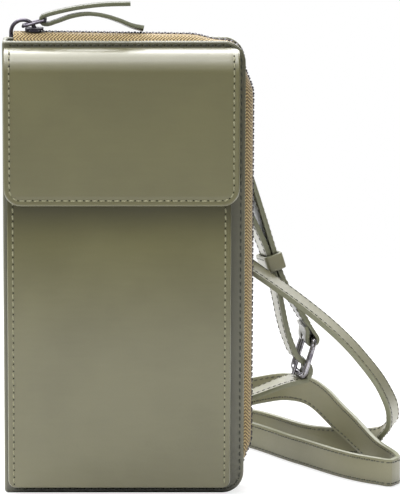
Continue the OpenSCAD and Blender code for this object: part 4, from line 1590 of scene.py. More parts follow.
@dataclass
class ShoulderStrap:
    """The two straps, the loops at their ends, the keeper and the buckle."""

    stitcher: Stitcher
    width: float = 12.0
    thickness: float = 2.2
    step: float = 2.4
    stitch_inset: float = 1.5
    stitch_pitch: float = 2.6
    stitch_size: float = 0.8
    fold_t: float = 1.6
    fold_pitch: float = 2.3
    fold_seam_half: float = 4.6
    fold_seam_back: float = 1.4
    leg: float = 7.0
    straight: float = 2.5
    ring_mid_x: float = -1.95
    ring_x: float = 40.0
    ring_y: float = 15.7
    ring_z: float = 171.0
    ring_drop: float = 7.8
    bar_r: float = 1.35
    tab_t: float = 1.8
    tab_l: float = 13.0
    buckle_at: Triple = (77.2, 38.5, 58.0)
    buckle_tilt: float = 16.6
    buckle_yaw: float = 105.0
    buckle_fold_turn: float = -50.0
    buckle_bar_r: float = 1.45
    buckle_r: float = 1.2
    buckle_l: float = 16.0
    prong_d: float = 1.5
    prong_gap: float = 0.4
    keeper_at: Triple = (60.5, 34.7, 91.6)
    keeper_turn: float = -17.5
    keeper_yaw: float = 104.0
    keeper_in: Pair = (13.0, 5.6)
    keeper_t: float = 1.3
    keeper_h: float = 7.0
    keeper_pitch: float = 2.4
    keeper_stitch: float = 0.7
    keeper_seam_z: float = 2.2
    buckle: Matrix = field(init=False)
    fold: Matrix = field(init=False)

    def __post_init__(self) -> None:
        """Finds how the buckle lies."""
        self.buckle = turned(self.buckle_at, (self.buckle_tilt, "Y"), (self.buckle_yaw, "Z"))
        self.fold = self.buckle @ Matrix.Rotation(radians(self.buckle_fold_turn), 4, "X")

    def ring_ends(self, side: int) -> Route:
        """Returns the strap's end and its straight length under a ring's folded end."""
        x = self.ring_mid_x + side * self.ring_x
        y = self.ring_y + self.bar_r + self.fold_t / 2
        z = self.ring_z - self.ring_drop - self.leg
        return [((x, y, z - below), (-side, 0, 0)) for below in (0, self.straight)]

    def routes(self) -> tuple[Route, Route]:
        """Returns the routes of the short and the long strap, from their rings on."""
        across = tuple(self.buckle.to_3x3() @ Vector((1, 0, 0)))
        y = -(self.buckle_bar_r + self.fold_t / 2)
        ends = [
            (tuple(self.fold @ Vector((0, y, self.leg + above))), across)
            for above in (self.straight, 0)
        ]
        return self.ring_ends(1) + SHORT_ROUTE + ends, self.ring_ends(-1) + LONG_ROUTE[::-1]

    def needle_room(self) -> Piece:
        """Makes the shape of the hole that the prong passes through."""
        r = self.prong_d / 2 + self.prong_gap
        middle = self.buckle_r + self.prong_d / 2
        rings = [
            [self.buckle @ Vector((x, middle + y, z)) for x, y in circle(16, r)]
            for z in (1.0, -self.buckle_l - self.prong_d - 1.0)
        ]
        return Draft(rings=rings).mesh("needle_room")

    def strap(
        self, name: str, route: Route, seed: int, room: Piece | None, **lie: object
    ) -> None:
        """Args:
            name: The solid that it replaces.
            route: Its places and width directions.
            seed: The seed of its stitches.
            room: A shape to cut out of it.
            **lie: Its far end, its lay and the pieces that it holds; not used.
        """
        points = [Vector(p) for p, _ in route]
        leans = [Vector(d).normalized() for _, d in route]
        line, widths = catmull(*with_halves(points, leans), step=self.step)
        band = Band(line, widths, self.width, self.thickness)
        piece = make(Draft(band), f"{name}_leather", STRAP, "back", name, room=room)
        row = (band.seams(self.stitch_inset), STRAP, seed, self.stitch_pitch, self.stitch_size)
        threads = self.stitcher.sew(f"{name}_stitches", "back", *row)
        length = band.arcs[-1]
        [value * MM for value in line[0]]
        [[value * MM for value in p] for p in line]
        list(lie.pop("held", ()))
        log.info("%s: %.0f mm long", name, length)

    def loop_line(self, sizes: Triple, sign: float) -> list[Vector]:
        """Draws the line of a band that is doubled round a bar, in Y and Z.

        Args:
            sizes: The fold's inner radius, the leather's thickness and the legs' length.
            sign: 1 where the legs point up from the bar, and -1 where they point down.

        Returns:
            The line's points, from the straight leg's tip to the other leg's tip.
        """
        bar_r, thick, leg = sizes
        grip = -sign
        r = bar_r + thick / 2
        points = [Vector((0, grip * r, sign * leg * (1 - i / 4))) for i in range(4)]
        for i in range(13):
            a = pi * i / 12
            points.append(Vector((0, grip * r * cos(a), -sign * r * sin(a))))
        for i in range(1, 7):
            t = i / 6
            ease = (1 - cos(pi * min(t * 1.15, 1.0))) / 2
            y = -grip * r + ease * grip * (2 * r - thick - 0.02)
            points.append(Vector((0, y, sign * leg * t)))
        return points

    def loop(
        self,
        name: str,
        node: str,
        lies: Matrix,
        sizes: Triple,
        sign: float,
        slotted: bool = False,
    ) -> None:
        """Makes a doubled end of leather round a bar, with the seam that closes it.

        Args:
            name: The start of its pieces' names.
            node: The solid that it replaces.
            lies: Where the bar's middle is, and how it lies.
            sizes: The fold's inner radius, the leather's thickness and the legs' length.
            sign: 1 where the legs point up from the bar, and -1 where they point down.
            slotted: Whether a slot for the prong is cut round the bar.
        """
        bar_r, thick, leg = sizes
        grip = -sign
        places = [lies @ p for p in self.loop_line(sizes, sign)]
        across = lies.to_3x3() @ Vector((1, 0, 0))
        band = Band(places, [across] * len(places), self.width, thick, 0.55, 0.0)
        room = None
        if slotted:
            half, reach = self.prong_d / 2 + self.prong_gap, 6
            corners = ((-half, -reach), (half, -reach), (half, reach), (-half, reach))
            rings = [
                [lies @ Vector((x, y, z)) for x, y in corners]
                for z in (-reach, bar_r + self.prong_d)
            ]
            room = Draft(rings=rings).mesh("prong_room")
        make(Draft(band), f"{name}_leather", STRAP, "back", node, room=room)
        outward = lies.to_3x3() @ Vector((0, grip, 0))
        out = grip * (bar_r + thick / 2 + thick / 2 + 0.02)
        half, z = self.fold_seam_half, sign * (leg - self.fold_seam_back)
        start, end = Vector((-half, out, z)), Vector((half, out, z))
        row = [lies @ start.lerp(end, i / 8) for i in range(9)]
        seam = Seam(row, [outward] * len(row))
        size = self.stitch_size
        self.stitcher.sew(f"{name}_stitches", "back", [seam], STRAP, 5, self.fold_pitch, size)

    def loops(self) -> None:
        """Makes the loops at the rings and at the buckle, and the tabs on the back cover."""
        for label, side in (("left", -1), ("right", 1)):
            x = self.ring_mid_x + side * self.ring_x
            lower, upper = (
                Matrix.Translation((x, self.ring_y, z))
                for z in (self.ring_z - self.ring_drop, self.ring_z)
            )
            fold = (self.bar_r, self.fold_t, self.leg)
            self.loop(f"{label}_fold", f"{label}_strap_fold", lower, fold, -1.0)
            tab = (self.bar_r, self.tab_t, self.tab_l)
            self.loop(f"{label}_tab", f"{label}_ring_tab", upper, tab, 1.0)
        sizes = (self.buckle_bar_r, self.fold_t, self.leg)
        self.loop("buckle_fold", "buckle_fold", self.fold, sizes, 1.0, slotted=True)

    def straps(self) -> None:
        """Makes the two straps."""
        short, long = self.routes()
        held = ("buckle_fold_leather", "buckle_fold_stitches")
        self.strap("short_strap", short, 3, None, far_end="object", lay="hanging", held=held)
        room = self.needle_room()
        self.strap("long_strap", long, 4, room, far_end="bare", lay="loose")

    def keeper(self) -> None:
        """Makes the keeper, a short leather tube round both straps."""
        w, t = (size / 2 + self.keeper_t / 2 for size in self.keeper_in)
        r = self.keeper_t * 0.9
        lies = turned(self.keeper_at, (self.keeper_turn, "Y"), (self.keeper_yaw, "Z"))
        line = []
        for corner, (right, up) in enumerate(((1, 1), (-1, 1), (-1, -1), (1, -1))):
            for i in range(7):
                a = radians(90 * corner + 15 * i)
                x, y = right * (w - r) + r * cos(a), up * (t - r) + r * sin(a)
                line.append(lies @ Vector((x, y, 0)))
        across = lies.to_3x3() @ Vector((0, 0, 1))
        widths = [across] * len(line)
        band = Band(line, widths, self.keeper_h, self.keeper_t, 0.5, 0.05, closed=True)
        make(Draft(band), "keeper_leather", STRAP, "keeper", "strap_keeper")
        outward = lies.to_3x3() @ Vector((0, 1, 0))
        seams = []
        for face in (1, -1):
            y = face * (t + self.keeper_t / 2 + 0.03)
            for z in (-self.keeper_seam_z, self.keeper_seam_z):
                places = [lies @ Vector((x, y, z)) for x in range(-5, 6)]
                seams.append(Seam(places, [outward * face] * len(places)))
        row = (seams, STRAP, 6, self.keeper_pitch, self.keeper_stitch)
        self.stitcher.sew("keeper_stitches", "keeper", *row)

    def build(self) -> None:
        """Makes the whole strap. The solids of the rings and the buckle stay."""
        self.loops()
        self.straps()
        self.keeper()
        finish_nodes(
            LIT_GUNMETAL, "left_strap_ring", "right_strap_ring", "buckle_frame", "buckle_prong"
        )


# The wallet


@dataclass(frozen=True)
class Places:
    """Main planes of the pouch."""

    spine_x: float = -51.95
    free_x: float = 48.05
    back_y: float = 12.55
    mid_y: float = 3.55
    front_y: float = -5.45
    pocket_y: float = -16.45
    cover_h: float = 190.0
    cover_t: float = 2.0
    cover_r: float = 9.0


AT = Places()
GROOVE_W = 0.55


def groove(depth: float, inside: float, inset: float) -> float:
    """Returns the hollow that a seam draws into leather.

    Args:
        depth: The hollow's depth.
        inside: How far inside the outline the point is.
        inset: How far inside the outline the seam is.

    Returns:
        The hollow at the point, which is negative.
    """
    return -depth * exp(-(((inside - inset) / GROOVE_W) ** 2))


@dataclass
class Covers:
    """The two covers and the spine, with the seams round their free edges."""

    stitcher: Stitcher
    edge_r: float = 0.95
    stitch_inset: float = 1.7
    seam_trim: float = 3.0
    hollow: float = 0.12
    foot_r: float = 1.6
    spine_gap: float = 0.3

    def relief(self, x: float, s: float) -> float:
        """Returns the cover's slight hollow along its seam."""
        inside = min(AT.free_x - x, s, AT.cover_h - s)
        r = AT.cover_r
        cx = AT.free_x - r
        for cz in (r, AT.cover_h - r):
            if x > cx and (s < r if cz == r else s > cz):
                inside = r - hypot(x - cx, s - cz)
        return groove(self.hollow, inside, self.stitch_inset)

    def cover(self, body: str, y_outer: float, facing: float, seed: int) -> None:
        """Makes one cover and its seam.

        Args:
            body: The body that it rides on, front or back.
            y_outer: The Y of its outer face.
            facing: The way that its outer face looks along Y.
            seed: The seed of its stitches.
        """
        radii = (self.foot_r, AT.cover_r, AT.cover_r, 0.9)
        outline = Outline(AT.spine_x, 0.0, AT.free_x, AT.cover_h, *radii)
        carrier = upright(y_outer, facing)
        sheet = Sheet(outline, carrier, 0.0, -AT.cover_t, self.edge_r, 4.5, self.relief)
        make(Draft(sheet), f"{body}_cover_leather", COVER, body, f"{body}_cover")
        sides = (Side.FOOT, Side.RIGHT, Side.TOP)
        seam = sheet.seam(sides, self.stitch_inset, (self.seam_trim, self.seam_trim))
        self.stitcher.sew(f"{body}_cover_stitches", body, [seam], COVER, seed)

    def spine(self) -> None:
        """Makes the spine, a strip between the covers' folds."""
        y0 = AT.front_y + AT.cover_t + self.spine_gap
        y1 = AT.back_y - AT.cover_t - self.spine_gap
        outline = Outline(y0, 0.0, y1, AT.cover_h, 0.6, 0.6, 0.6, 0.6)
        draft = Draft(Sheet(outline, upright(0.0), 0.0, -AT.cover_t, 0.8, 2.0))
        turn = Matrix(((0, 1, 0), (1, 0, 0), (0, 0, 1)))
        draft.points = [turn @ p + Vector((AT.spine_x, 0, 0)) for p in draft.points]
        make(draft, "spine_leather", COVER, "spine", "spine")

    def build(self) -> None:
        """Makes the covers and the spine."""
        self.cover("front", AT.front_y, -1.0, 11)
        self.cover("back", AT.back_y, 1.0, 12)
        self.spine()


@dataclass
class Interior:
    """The linings, the card slots and the slip pocket."""

    stitcher: Stitcher
    lining_t: float = 0.8
    lining_in: float = 7.4
    lining_x0: float = -47.45
    card_side: float = 5.0
    card_t: float = 0.7
    card_gap: float = 0.02
    card_foot: float = 14.0
    card_h: float = 150.0
    card_step: float = 22.0
    card_slots: int = 4
    slip_h: float = 105.0
    edge_r: float = 0.3
    step: float = 8.0
    stitch_inset: float = 1.6
    stitch_lift: float = 0.01
    stitch_size: float = 0.8
    edge_trim: float = 2.0
    corner_trim: float = 3.0

    def lining(self, body: str, y_in: float, facing: float) -> None:
        """Makes one cover's lining.

        Args:
            body: The body that it rides on.
            y_in: The Y of the cover's inner face.
            facing: The way that the lining looks along Y.
        """
        inset = self.lining_in
        r = AT.cover_r - inset
        corners = (self.lining_x0, inset, AT.free_x - inset, AT.cover_h - inset)
        outline = Outline(*corners, 0.5, r, r, 0.5)
        carrier = upright(y_in, facing)
        sheet = Sheet(outline, carrier, self.lining_t, 0.0, self.edge_r, self.step, edge_slot=0)
        make(Draft(sheet), f"{body}_lining_cloth", CLOTH, body, f"{body}_lining")

    def panel(self, y: float, facing: float, height: float, thickness: float) -> Sheet:
        """Returns a panel of the inside pockets.

        Args:
            y: The Y of its hind face.
            facing: The way that it looks along Y.
            height: Its height.
            thickness: Its thickness.

        Returns:
            The sheet.
        """
        x0 = self.lining_x0 + self.card_side
        x1 = AT.free_x - self.lining_in - self.card_side
        outline = Outline(x0, self.card_foot, x1, self.card_foot + height)
        return Sheet(outline, upright(y, facing), thickness, 0.0, self.edge_r, self.step)

    def seam(self, sheet: Sheet, sides: Sequence[Side], trim: float) -> Seam:
        """Returns a seam of an inside pocket that ends that far from its corners."""
        return sheet.seam(sides, self.stitch_inset, (trim, trim), self.stitch_lift)

    def cards(self) -> None:
        """Makes the card slots, each one shorter than the one behind it."""
        y0 = AT.back_y - AT.cover_t - self.lining_t
        sheets = [
            self.panel(
                y0 - i * self.card_t,
                -1.0,
                self.card_h - i * self.card_step,
                self.card_t - self.card_gap,
            )
            for i in range(self.card_slots)
        ]
        seams = [self.seam(sheet, (Side.TOP,), self.edge_trim) for sheet in sheets]
        seams.append(self.seam(sheets[-1], U_SIDES, self.corner_trim))
        make(Draft(*sheets), "card_slots_leather", CARDS, "back", "card_panel")
        size = self.stitch_size
        self.stitcher.sew("card_slots_stitches", "back", seams, CARDS, 21, size=size)

    def slip_pocket(self) -> None:
        """Makes the slip pocket in the front cover."""
        y0 = AT.front_y + AT.cover_t + self.lining_t
        sheet = self.panel(y0, 1.0, self.slip_h, self.card_t)
        make(Draft(sheet), "slip_pocket_leather", CARDS, "front", "slip_pocket")
        seams = [
            self.seam(sheet, U_SIDES, self.edge_trim),
            self.seam(sheet, (Side.TOP,), self.corner_trim),
        ]
        size = self.stitch_size
        self.stitcher.sew("slip_pocket_stitches", "front", seams, CARDS, 22, size=size)

    def build(self) -> None:
        """Makes the whole interior."""
        self.lining("back", AT.back_y - AT.cover_t, -1.0)
        self.lining("front", AT.front_y + AT.cover_t, 1.0)
        self.cards()
        self.slip_pocket()


@dataclass
class Zip:
    """The zip: its two tapes and its two rows of teeth."""

    rows: RowMaker
    tape_x: float = -47.45
    left: float = 2.8
    right: float = 1.5
    out: float = 3.0
    corner: float = 0.8
    foot: float = 1.2
    tape_t: float = 0.6
    tip: float = 0.28
    sew_inset: float = 3.0
    sew_w: float = 4.0
    tooth_pitch: float = 2.5
    tooth_l: float = 1.1
    tooth_h: float = 1.8
    tooth_root: float = 1.3
    tooth_reach: float = 0.9
    tooth_chamfer: float = 0.28
    stop_l: float = 3.0
    slider_from_tape: float = 4.0
    first_gap: float = 3.3
    ease_l: float = 14.0

    def __post_init__(self) -> None:
        """Measures the top run, a corner and the side run."""
        self.turn_x = AT.free_x - AT.cover_r
        self.top = self.turn_x - self.tape_x
        self.arc = (AT.cover_r - self.corner) * pi / 2
        self.side = AT.cover_h - 2 * AT.cover_r

    def ease(self, length: float, outer: float) -> float:
        """Returns how far the zip stands out at a length past a corner, on its way to outer."""
        share = min(max(length / self.ease_l, 0.0), 1.0)
        return -self.corner + (outer + self.corner) * (1 - cos(pi * share)) / 2

    def turn(self, z: float, start: float, share: float) -> tuple[Vector, Vector]:
        """Returns the place and the outward direction at a share of a corner."""
        a = radians(start - 90 * share)
        n = Vector((cos(a), sin(a)))
        return Vector((self.turn_x, z)) + n * AT.cover_r, n

    def edge(self, s: float) -> tuple[Vector, Vector, float]:
        """Finds a place on the covers' edge.

        Args:
            s: The length along the zip from the slider's end.

        Returns:
            The place in X and Z, the outward direction, and how far the zip stands out there.
        """
        r = AT.cover_r
        if s < self.top:
            out = self.left + (self.right - self.left) * s / self.top
            place = Vector((self.tape_x + s, AT.cover_h))
            return place, Vector((0, 1)), self.ease(self.top - s, out)
        s -= self.top
        if s < self.arc:
            return *self.turn(AT.cover_h - r, 90, s / self.arc), -self.corner
        s -= self.arc
        if s < self.side:
            z = AT.cover_h - r - s * (AT.cover_h - 2 * r) / self.side
            out = self.ease(min(s, self.side - s), self.out)
            return Vector((AT.free_x, z)), Vector((1, 0)), out
        s -= self.side
        if s < self.arc:
            out = -self.corner - (self.foot - self.corner) * s / self.arc
            return *self.turn(r, 0, s / self.arc), out
        s -= self.arc
        return Vector((self.turn_x - min(s, self.top), 0.0)), Vector((0, -1)), -self.foot

    def stations(self) -> list[float]:
        """Returns the lengths at which the tape has a section."""
        found, start = [], 0.0
        for length, count in (
            (self.top, 24),
            (self.arc, 12),
            (self.side, 44),
            (self.arc, 12),
            (self.top, 20),
        ):
            found += [start + length * i / count for i in range(count)]
            start += length
        return [*found, start]

    def tape_line(self, out: float) -> list[Quad]:
        """Draws the middle of the tape's section.

        Args:
            out: How far the zip stands out past the covers' edge.

        Returns:
            Points outwards and across, and the outward direction of the tape's face at each.
        """
        v = AT.back_y - AT.mid_y - AT.cover_t - self.tape_t / 2
        dv = v - self.tooth_root
        du = out + self.sew_inset
        line = [(-self.sew_inset - self.sew_w, v, 0.0, 1.0), (-self.sew_inset, v, 0.0, 1.0)]
        for i in range(1, 11):
            a = radians(9 * i)
            n = Vector((dv * sin(a), du * cos(a))).normalized()
            line.append(
                (-self.sew_inset + du * sin(a), self.tooth_root + dv * cos(a), n.x, n.y)
            )
        return line

    def tape(self, body: str, side: float) -> None:
        """Makes one tape, sewn inside a cover and domed out to its teeth.

        Args:
            body: The body that it rides on.
            side: 1 for the back tape and -1 for the front one.
        """
        rings = []
        half = self.tape_t / 2
        for s in self.stations():
            at, n, out = self.edge(s)
            line = self.tape_line(out)
            section = [(u + a * half, v + b * half) for u, v, a, b in line]
            section.append((line[-1][0], line[-1][1] - self.tip))
            section += [(u - a * half, v - b * half) for u, v, a, b in reversed(line)]
            rings.append(
                [Vector((at.x + n.x * u, AT.mid_y + side * v, at.y + n.y * u)) for u, v in section]
            )
        name = f"{body}_zip_tape"
        make(Draft(rings=rings), f"{name}_weave", TAPE, body, name, sharp=60)

    def tooth(self, side: float) -> Piece:
        """Makes one tooth: a clamped root, a narrower neck and a rounded head.

        Args:
            side: 1 for the back row and -1 for the front row.

        Returns:
            The small piece, lying along X and facing Z.
        """
        rings = []
        c = self.tooth_chamfer
        # Places across the row, with the width and the height there as shares of the tooth's.
        for y, wide, high in (
            (self.tooth_root, 0.8, 0.7),
            (self.tooth_root - 0.25, 1.0, 1.0),
            (0.35, 0.95, 0.9),
            (-0.1, 0.72, 0.55),
            (-self.tooth_reach * 0.55, 1.0, 0.5),
            (-self.tooth_reach + 0.02, 0.7, 0.4),
        ):
            a, h = self.tooth_l / 2 * wide, self.tooth_h / 2 * high
            upper = [(-a, h - c), (-a + c, h), (a - c, h), (a, h - c)]
            ring = upper + [(x, -z) for x, z in reversed(upper)]
            rings.append([Vector((x, side * y, z)) for x, z in ring])
        return Draft(rings=rings).mesh("one_tooth", sharp=35)

    def teeth(self, body: str, side: float, shift: float) -> None:
        """Makes one row of teeth.

        Args:
            body: The body that it rides on.
            side: 1 for the back row and -1 for the front row.
            shift: How far along the row starts, in pitches.
        """
        pitch = self.tooth_pitch
        first = self.slider_from_tape + self.first_gap
        last = 2 * self.top + 2 * self.arc + self.side - self.stop_l - pitch
        count = floor((last - first) / pitch)
        places, facings = [], []
        for i in range(count * 4 + 1):
            at, n, out = self.edge(first + shift * pitch + i * pitch / 4)
            place = at + n * out
            places.append(Vector((place.x, AT.mid_y, place.y)))
            facings.append(Vector((n.x, 0, n.y)))
        shape = self.tooth(side)
        seams = [Seam(places, facings)]
        name = f"{body}_zip_teeth"
        row = self.rows.row(
            f"{name}_row", seams, pitch, Piece=shape, Piece_Finish=TOOTH_METAL.material()
        )
        bpy.data.objects.remove(shape)
        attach(row, body)
        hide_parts(name)

    def build(self) -> None:
        """Makes the whole zip."""
        self.tape("back", 1.0)
        self.tape("front", -1.0)
        self.teeth("back", 1.0, 0.0)
        self.teeth("front", -1.0, 0.5)


@dataclass
class Puller:
    """The slider, its link and the leather thong folded through the link."""

    slider: Triple = (-43.45, 3.55, 192.74)
    slope: float = 0.86103
    pivot: float = 2.7
    link_l: float = 9.4
    rise: float = 16.0
    link_t: float = 1.2
    thong_w: float = 5.4
    thong_t: float = 1.7
    thong_gap: float = 0.3
    twist: float = 24.0
    twist_points: int = 6
    # The thong's two tails, from the link's far bar, in lengths of the link.
    upper: tuple[Pair, ...] = ((3.72, 0.76), (2.45, 0.7), (1.38, 0.55), (0.59, 0.37))
    lower: tuple[Pair, ...] = (
        (0.48, -0.06),
        (1.12, 0.17),
        (1.81, 0.28),
        (2.45, 0.23),
        (3.19, 0.02),
        (3.83, -0.23),
        (4.31, -0.33),
    )

    def thong_line(self) -> list[Vector]:
        """Draws the thong's line in the slider's X and Z."""
        a = radians(self.rise)
        bar = Vector((self.link_l * cos(a), 0, self.pivot + self.link_l * sin(a)))
        r = self.link_t / 2 + self.thong_gap + self.thong_t / 2
        points = [bar + Vector((x, 0, z)) * self.link_l for x, z in self.upper]
        for i in range(7):
            turn = radians(100 + 170 * i / 6)
            points.append(bar + Vector((cos(turn), 0, sin(turn))) * r)
        return points + [bar + Vector((x, 0, z)) * self.link_l for x, z in self.lower]

    def build(self) -> None:
        """Makes the thong and finishes the slider and its link, whose solids stay."""
        place = turned(self.slider, (self.slope, "Y"))
        points = [place @ p for p in self.thong_line()]
        leans = []
        for number in range(len(points)):
            past = max(0.0, number - len(points) + self.twist_points) / self.twist_points
            a = radians(self.twist * past)
            leans.append(Vector((0, cos(a), -sin(a))))
        line, widths = catmull(points, leans, step=1.2)
        band = Band(line, widths, self.thong_w, self.thong_t, 0.5, 0.04, taper=0.12)
        make(Draft(band), "thong_leather", THONG, "thong", "puller_thong")
        finish_nodes(GUNMETAL, "zip_slider", "puller_link")


@dataclass
class PhonePocket:
    """The phone pocket on the front cover."""

    stitcher: Stitcher
    x0: float = -49.95
    x1: float = 42.05
    z0: float = 4.8
    z1: float = 159.8
    corner_r: float = 3.0
    panel_t: float = 1.4
    thin_t: float = 0.6
    gusset_t: float = 1.5
    stitch_inset: float = 2.3
    seam_trim: float = 3.0
    hollow: float = 0.12
    swell: float = 0.5
    swell_top: float = 0.74
    ripple: float = 0.28
    ripple_z: float = 116.0
    ripple_h: float = 9.0
    crease: float = 0.55

    def outline(self, inset: float = 0.0) -> Outline:
        """Returns the pocket's outline, or one inside it."""
        r = max(self.corner_r - inset, 0.3)
        return Outline(self.x0 + inset, self.z0 + inset, self.x1 - inset, self.z1, r, r, 0.5, 0.5)

    def relief(self, x: float, s: float) -> float:
        """Returns the front's soft swell, and its ripple under the flap."""
        u = (x - self.x0) / (self.x1 - self.x0)
        v = (s - self.z0) / (self.z1 - self.z0)
        edge = min(1.0, 6 * u, 6 * (1 - u)) ** 2
        rise = sin(pi * min(1.0, max(0.0, v / self.swell_top)))
        swell = self.swell * edge * rise**0.8
        below = exp(-(((s - self.ripple_z) / self.ripple_h) ** 2))
        ripple = -self.ripple * edge * below * (0.55 + 0.45 * sin(x / 7.5 + 0.6))
        return swell + ripple + self.seam_hollow(x)

    def seam_hollow(self, x: float) -> float:
        """Returns the hollow along the seams of the two sides."""
        return groove(self.hollow, min(x - self.x0, self.x1 - x), self.stitch_inset)

    def front(self) -> None:
        """Makes the pocket's front leather, and the linings of its front and back."""
        carrier = upright(AT.pocket_y)
        sheet = Sheet(self.outline(), carrier, 0.0, -self.panel_t, 0.55, 3.4, self.relief)
        make(Draft(sheet), "pocket_front_leather", POCKET, "front", "pocket_front")
        seams = [
            sheet.seam((side,), self.stitch_inset, trim)
            for side, trim in (
                (Side.LEFT, (self.seam_trim, 0.0)),
                (Side.RIGHT, (0.0, self.seam_trim)),
            )
        ]
        self.stitcher.sew("pocket_stitches", "front", seams, POCKET, 31)
        for node, y, inset in (
            ("pocket_front_lining", AT.pocket_y + self.panel_t, 0.0),
            ("pocket_back_lining", AT.front_y - self.thin_t, self.gusset_t),
        ):
            outline = self.outline(inset)
            cloth = Sheet(outline, upright(y), 0.0, -self.thin_t, 0.25, 8.0, edge_slot=0)
            make(Draft(cloth), f"{node}_cloth", CLOTH, "front", node)

    def gusset(self) -> None:
        """Makes the side and bottom walls, with a soft crease along their middle."""
        y0 = AT.pocket_y + self.panel_t + self.thin_t
        depth = AT.front_y - y0
        points = self.outline().walk(U_SIDES, 0.0, 4.0)
        points = [Vector((self.x0, self.z1))] + points + [Vector((self.x1, self.z1))]
        outer = []
        for k in range(13):
            t = k / 12
            dip = self.crease * exp(-(((t - 0.5) / 0.16) ** 2)) + 0.1 * sin(pi * t)
            outer.append((t, dip))
        section = outer + [(t, self.gusset_t) for t in (1.0, 0.5, 0.0)]
        rings = []
        for i, p in enumerate(points):
            ahead = points[min(i + 1, len(points) - 1)] - points[max(i - 1, 0)]
            ahead.normalize()
            inward = Vector((-ahead.y, ahead.x))
            ring = []
            for t, dip in section:
                q = p + inward * dip
                ring.append(Vector((q.x, y0 + depth * t, q.y)))
            rings.append(ring)
        make(Draft(rings=rings), "pocket_gusset_leather", GUSSET, "front", "pocket_gusset")

    def build(self) -> None:
        """Makes the whole pocket."""
        self.front()
        self.gusset()
        finish_nodes(GUNMETAL, "pocket_magnet")


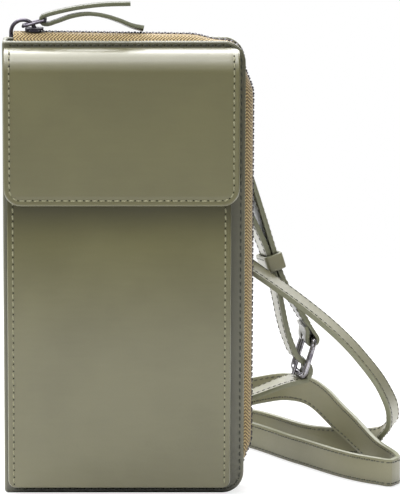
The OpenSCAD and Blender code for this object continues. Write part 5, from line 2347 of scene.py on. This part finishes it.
@dataclass
class Flap:
    """The flap that folds over the pocket."""

    stitcher: Stitcher
    x0: float = -51.15
    x1: float = 45.35
    foot: float = 123.5
    bend_z: float = 179.9
    front_y: float = -17.85
    axis_y: float = -6.75
    axis_z: float = 186.4
    lower_r: float = 7.0
    upper_right: float = 6.0
    upper_left: float = 2.0
    leather_t: float = 1.4
    thin_t: float = 0.6
    stitch_inset: float = 2.3
    seam_trim: float = 5.0
    hollow: float = 0.13
    root_inset: float = 2.2
    root_trim: float = 2.0
    root_h: float = 9.0
    root_gap: float = 0.3
    sewn_l: float = 0.9
    fold_n: int = 48
    fullness: float = 0.9
    fullness_end: float = 0.72
    bend_half: float = 1.6

    def __post_init__(self) -> None:
        """Measures the fold, a quarter ellipse from the hanging panel up to the sewn line."""
        self.reach = self.axis_y - self.front_y
        self.drop = self.axis_z - self.bend_z
        self.straight = self.bend_z - self.foot
        self.turns = [0.0]
        previous = Vector(self.fold_point(0)[:2])
        for i in range(1, self.fold_n + 1):
            point = Vector(self.fold_point(i)[:2])
            self.turns.append(self.turns[-1] + (point - previous).length)
            previous = point

    def fold_point(self, i: float) -> Quad:
        """Returns a place in Y and Z on the fold's middle line, and the outward direction."""
        a = pi / 2 * (1 - i / self.fold_n)
        out, up = sin(a), cos(a)
        normal = Vector((-self.drop * out, self.reach * up)).normalized()
        return self.axis_y - self.reach * out, self.bend_z + self.drop * up, normal.x, normal.y

    def carrier(self, s: float) -> Quad:
        """Returns the flap's middle line and its outward direction at a length from its foot."""
        if s <= self.straight:
            return self.front_y, self.foot + s, -1.0, 0.0
        over = s - self.straight
        if over >= self.turns[-1]:
            return self.axis_y + over - self.turns[-1], self.axis_z, 0.0, 1.0
        i = max(k for k, length in enumerate(self.turns) if length <= over)
        share = (over - self.turns[i]) / (self.turns[i + 1] - self.turns[i])
        return self.fold_point(i + share)

    def outline(self) -> Outline:
        """Returns the flap's outline in X and the length from its foot."""
        length = self.straight + self.turns[-1] + self.sewn_l
        radii = (self.lower_r, self.lower_r, self.upper_right, self.upper_left)
        return Outline(self.x0, 0.0, self.x1, length, *radii)

    def relief(self, x: float, s: float) -> float:
        """Returns the fullness of the fold and the hollow along the flap's seam."""
        inside = min(x - self.x0, self.x1 - x, s)
        r = self.lower_r
        for cx, past in ((self.x0 + r, x < self.x0 + r), (self.x1 - r, x > self.x1 - r)):
            if past and s < r:
                inside = r - hypot(x - cx, s - r)
        over = min(max((s - self.straight) / self.turns[-1], 0.0), 1.0)
        full = self.fullness * min(over**1.5, max(0.0, self.fullness_end - over) * 2.5)
        return full + groove(self.hollow, inside, self.stitch_inset)

    def bend(self, piece: Piece) -> None:
        """Bakes a piece's place into its mesh; the ends of its bend between the fold and the
        hanging panel are worked out but not used.
        """
        start, end = (
            (0.0, self.front_y * MM, (self.bend_z + way) * MM)
            for way in (self.bend_half, -self.bend_half)
        )
        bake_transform(piece)
        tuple(start)
        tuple(end)

    def build(self) -> None:
        """Makes the flap's leather and lining, its seam and its sewn root."""
        half = (self.leather_t + self.thin_t) / 2
        outline, split = self.outline(), half - self.leather_t
        sheet = Sheet(outline, self.carrier, half, split, 0.6, 2.6, self.relief)
        self.bend(make(Draft(sheet), "flap_leather", FLAP, None, "flap_fold", "flap_panel"))
        thin = Sheet(outline, self.carrier, split, -half, 0.25, 4.0, edge_slot=0)
        self.bend(make(Draft(thin), "flap_lining_cloth", CLOTH, None, "flap_lining"))
        seam = sheet.seam(U_SIDES, self.stitch_inset, (self.seam_trim, self.seam_trim))
        self.bend(self.stitcher.sew("flap_stitches", None, [seam], FLAP, 41))
        top = self.axis_z - half - self.root_gap
        outline = Outline(self.x0, top - self.root_h, self.x1, top)
        root = Sheet(outline, upright(AT.front_y), 2 * half, 0.0, 0.5, 4.0)
        make(Draft(root), "flap_root_leather", FLAP, "front", "flap_root")
        row = root.seam((Side.FOOT,), self.root_inset, (self.root_trim, self.root_trim))
        self.stitcher.sew("flap_root_stitches", "front", [row], COVER, 42)
        finish_nodes(GUNMETAL, "flap_magnet")


def report() -> None:
    """Works out the solids' box and the dressed model's box, and logs each piece's number of
    faces.
    """
    boxes: Iterable[tuple[str, object]] = (("cad", CAD_BOX), ("visual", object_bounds()))
    sizes = {name: [list(map(float, corner)) for corner in box] for name, box in boxes}
    for piece in bpy.data.objects:
        if piece.type == "MESH" and not piece.hide_render:
            log.info("%s: %d faces", piece.name, len(piece.data.polygons))


def main() -> None:
    """Builds the studio, then the pouch."""
    logging.basicConfig(level=logging.INFO, format="%(name)s: %(message)s")
    Studio().build()
    rows = RowMaker()
    stitcher = Stitcher(rows)
    ShoulderStrap(stitcher).build()
    Covers(stitcher).build()
    Interior(stitcher).build()
    Zip(rows).build()
    Puller().build()
    PhonePocket(stitcher).build()
    Flap(stitcher).build()
    report()


if __name__ == "__main__":
    main()
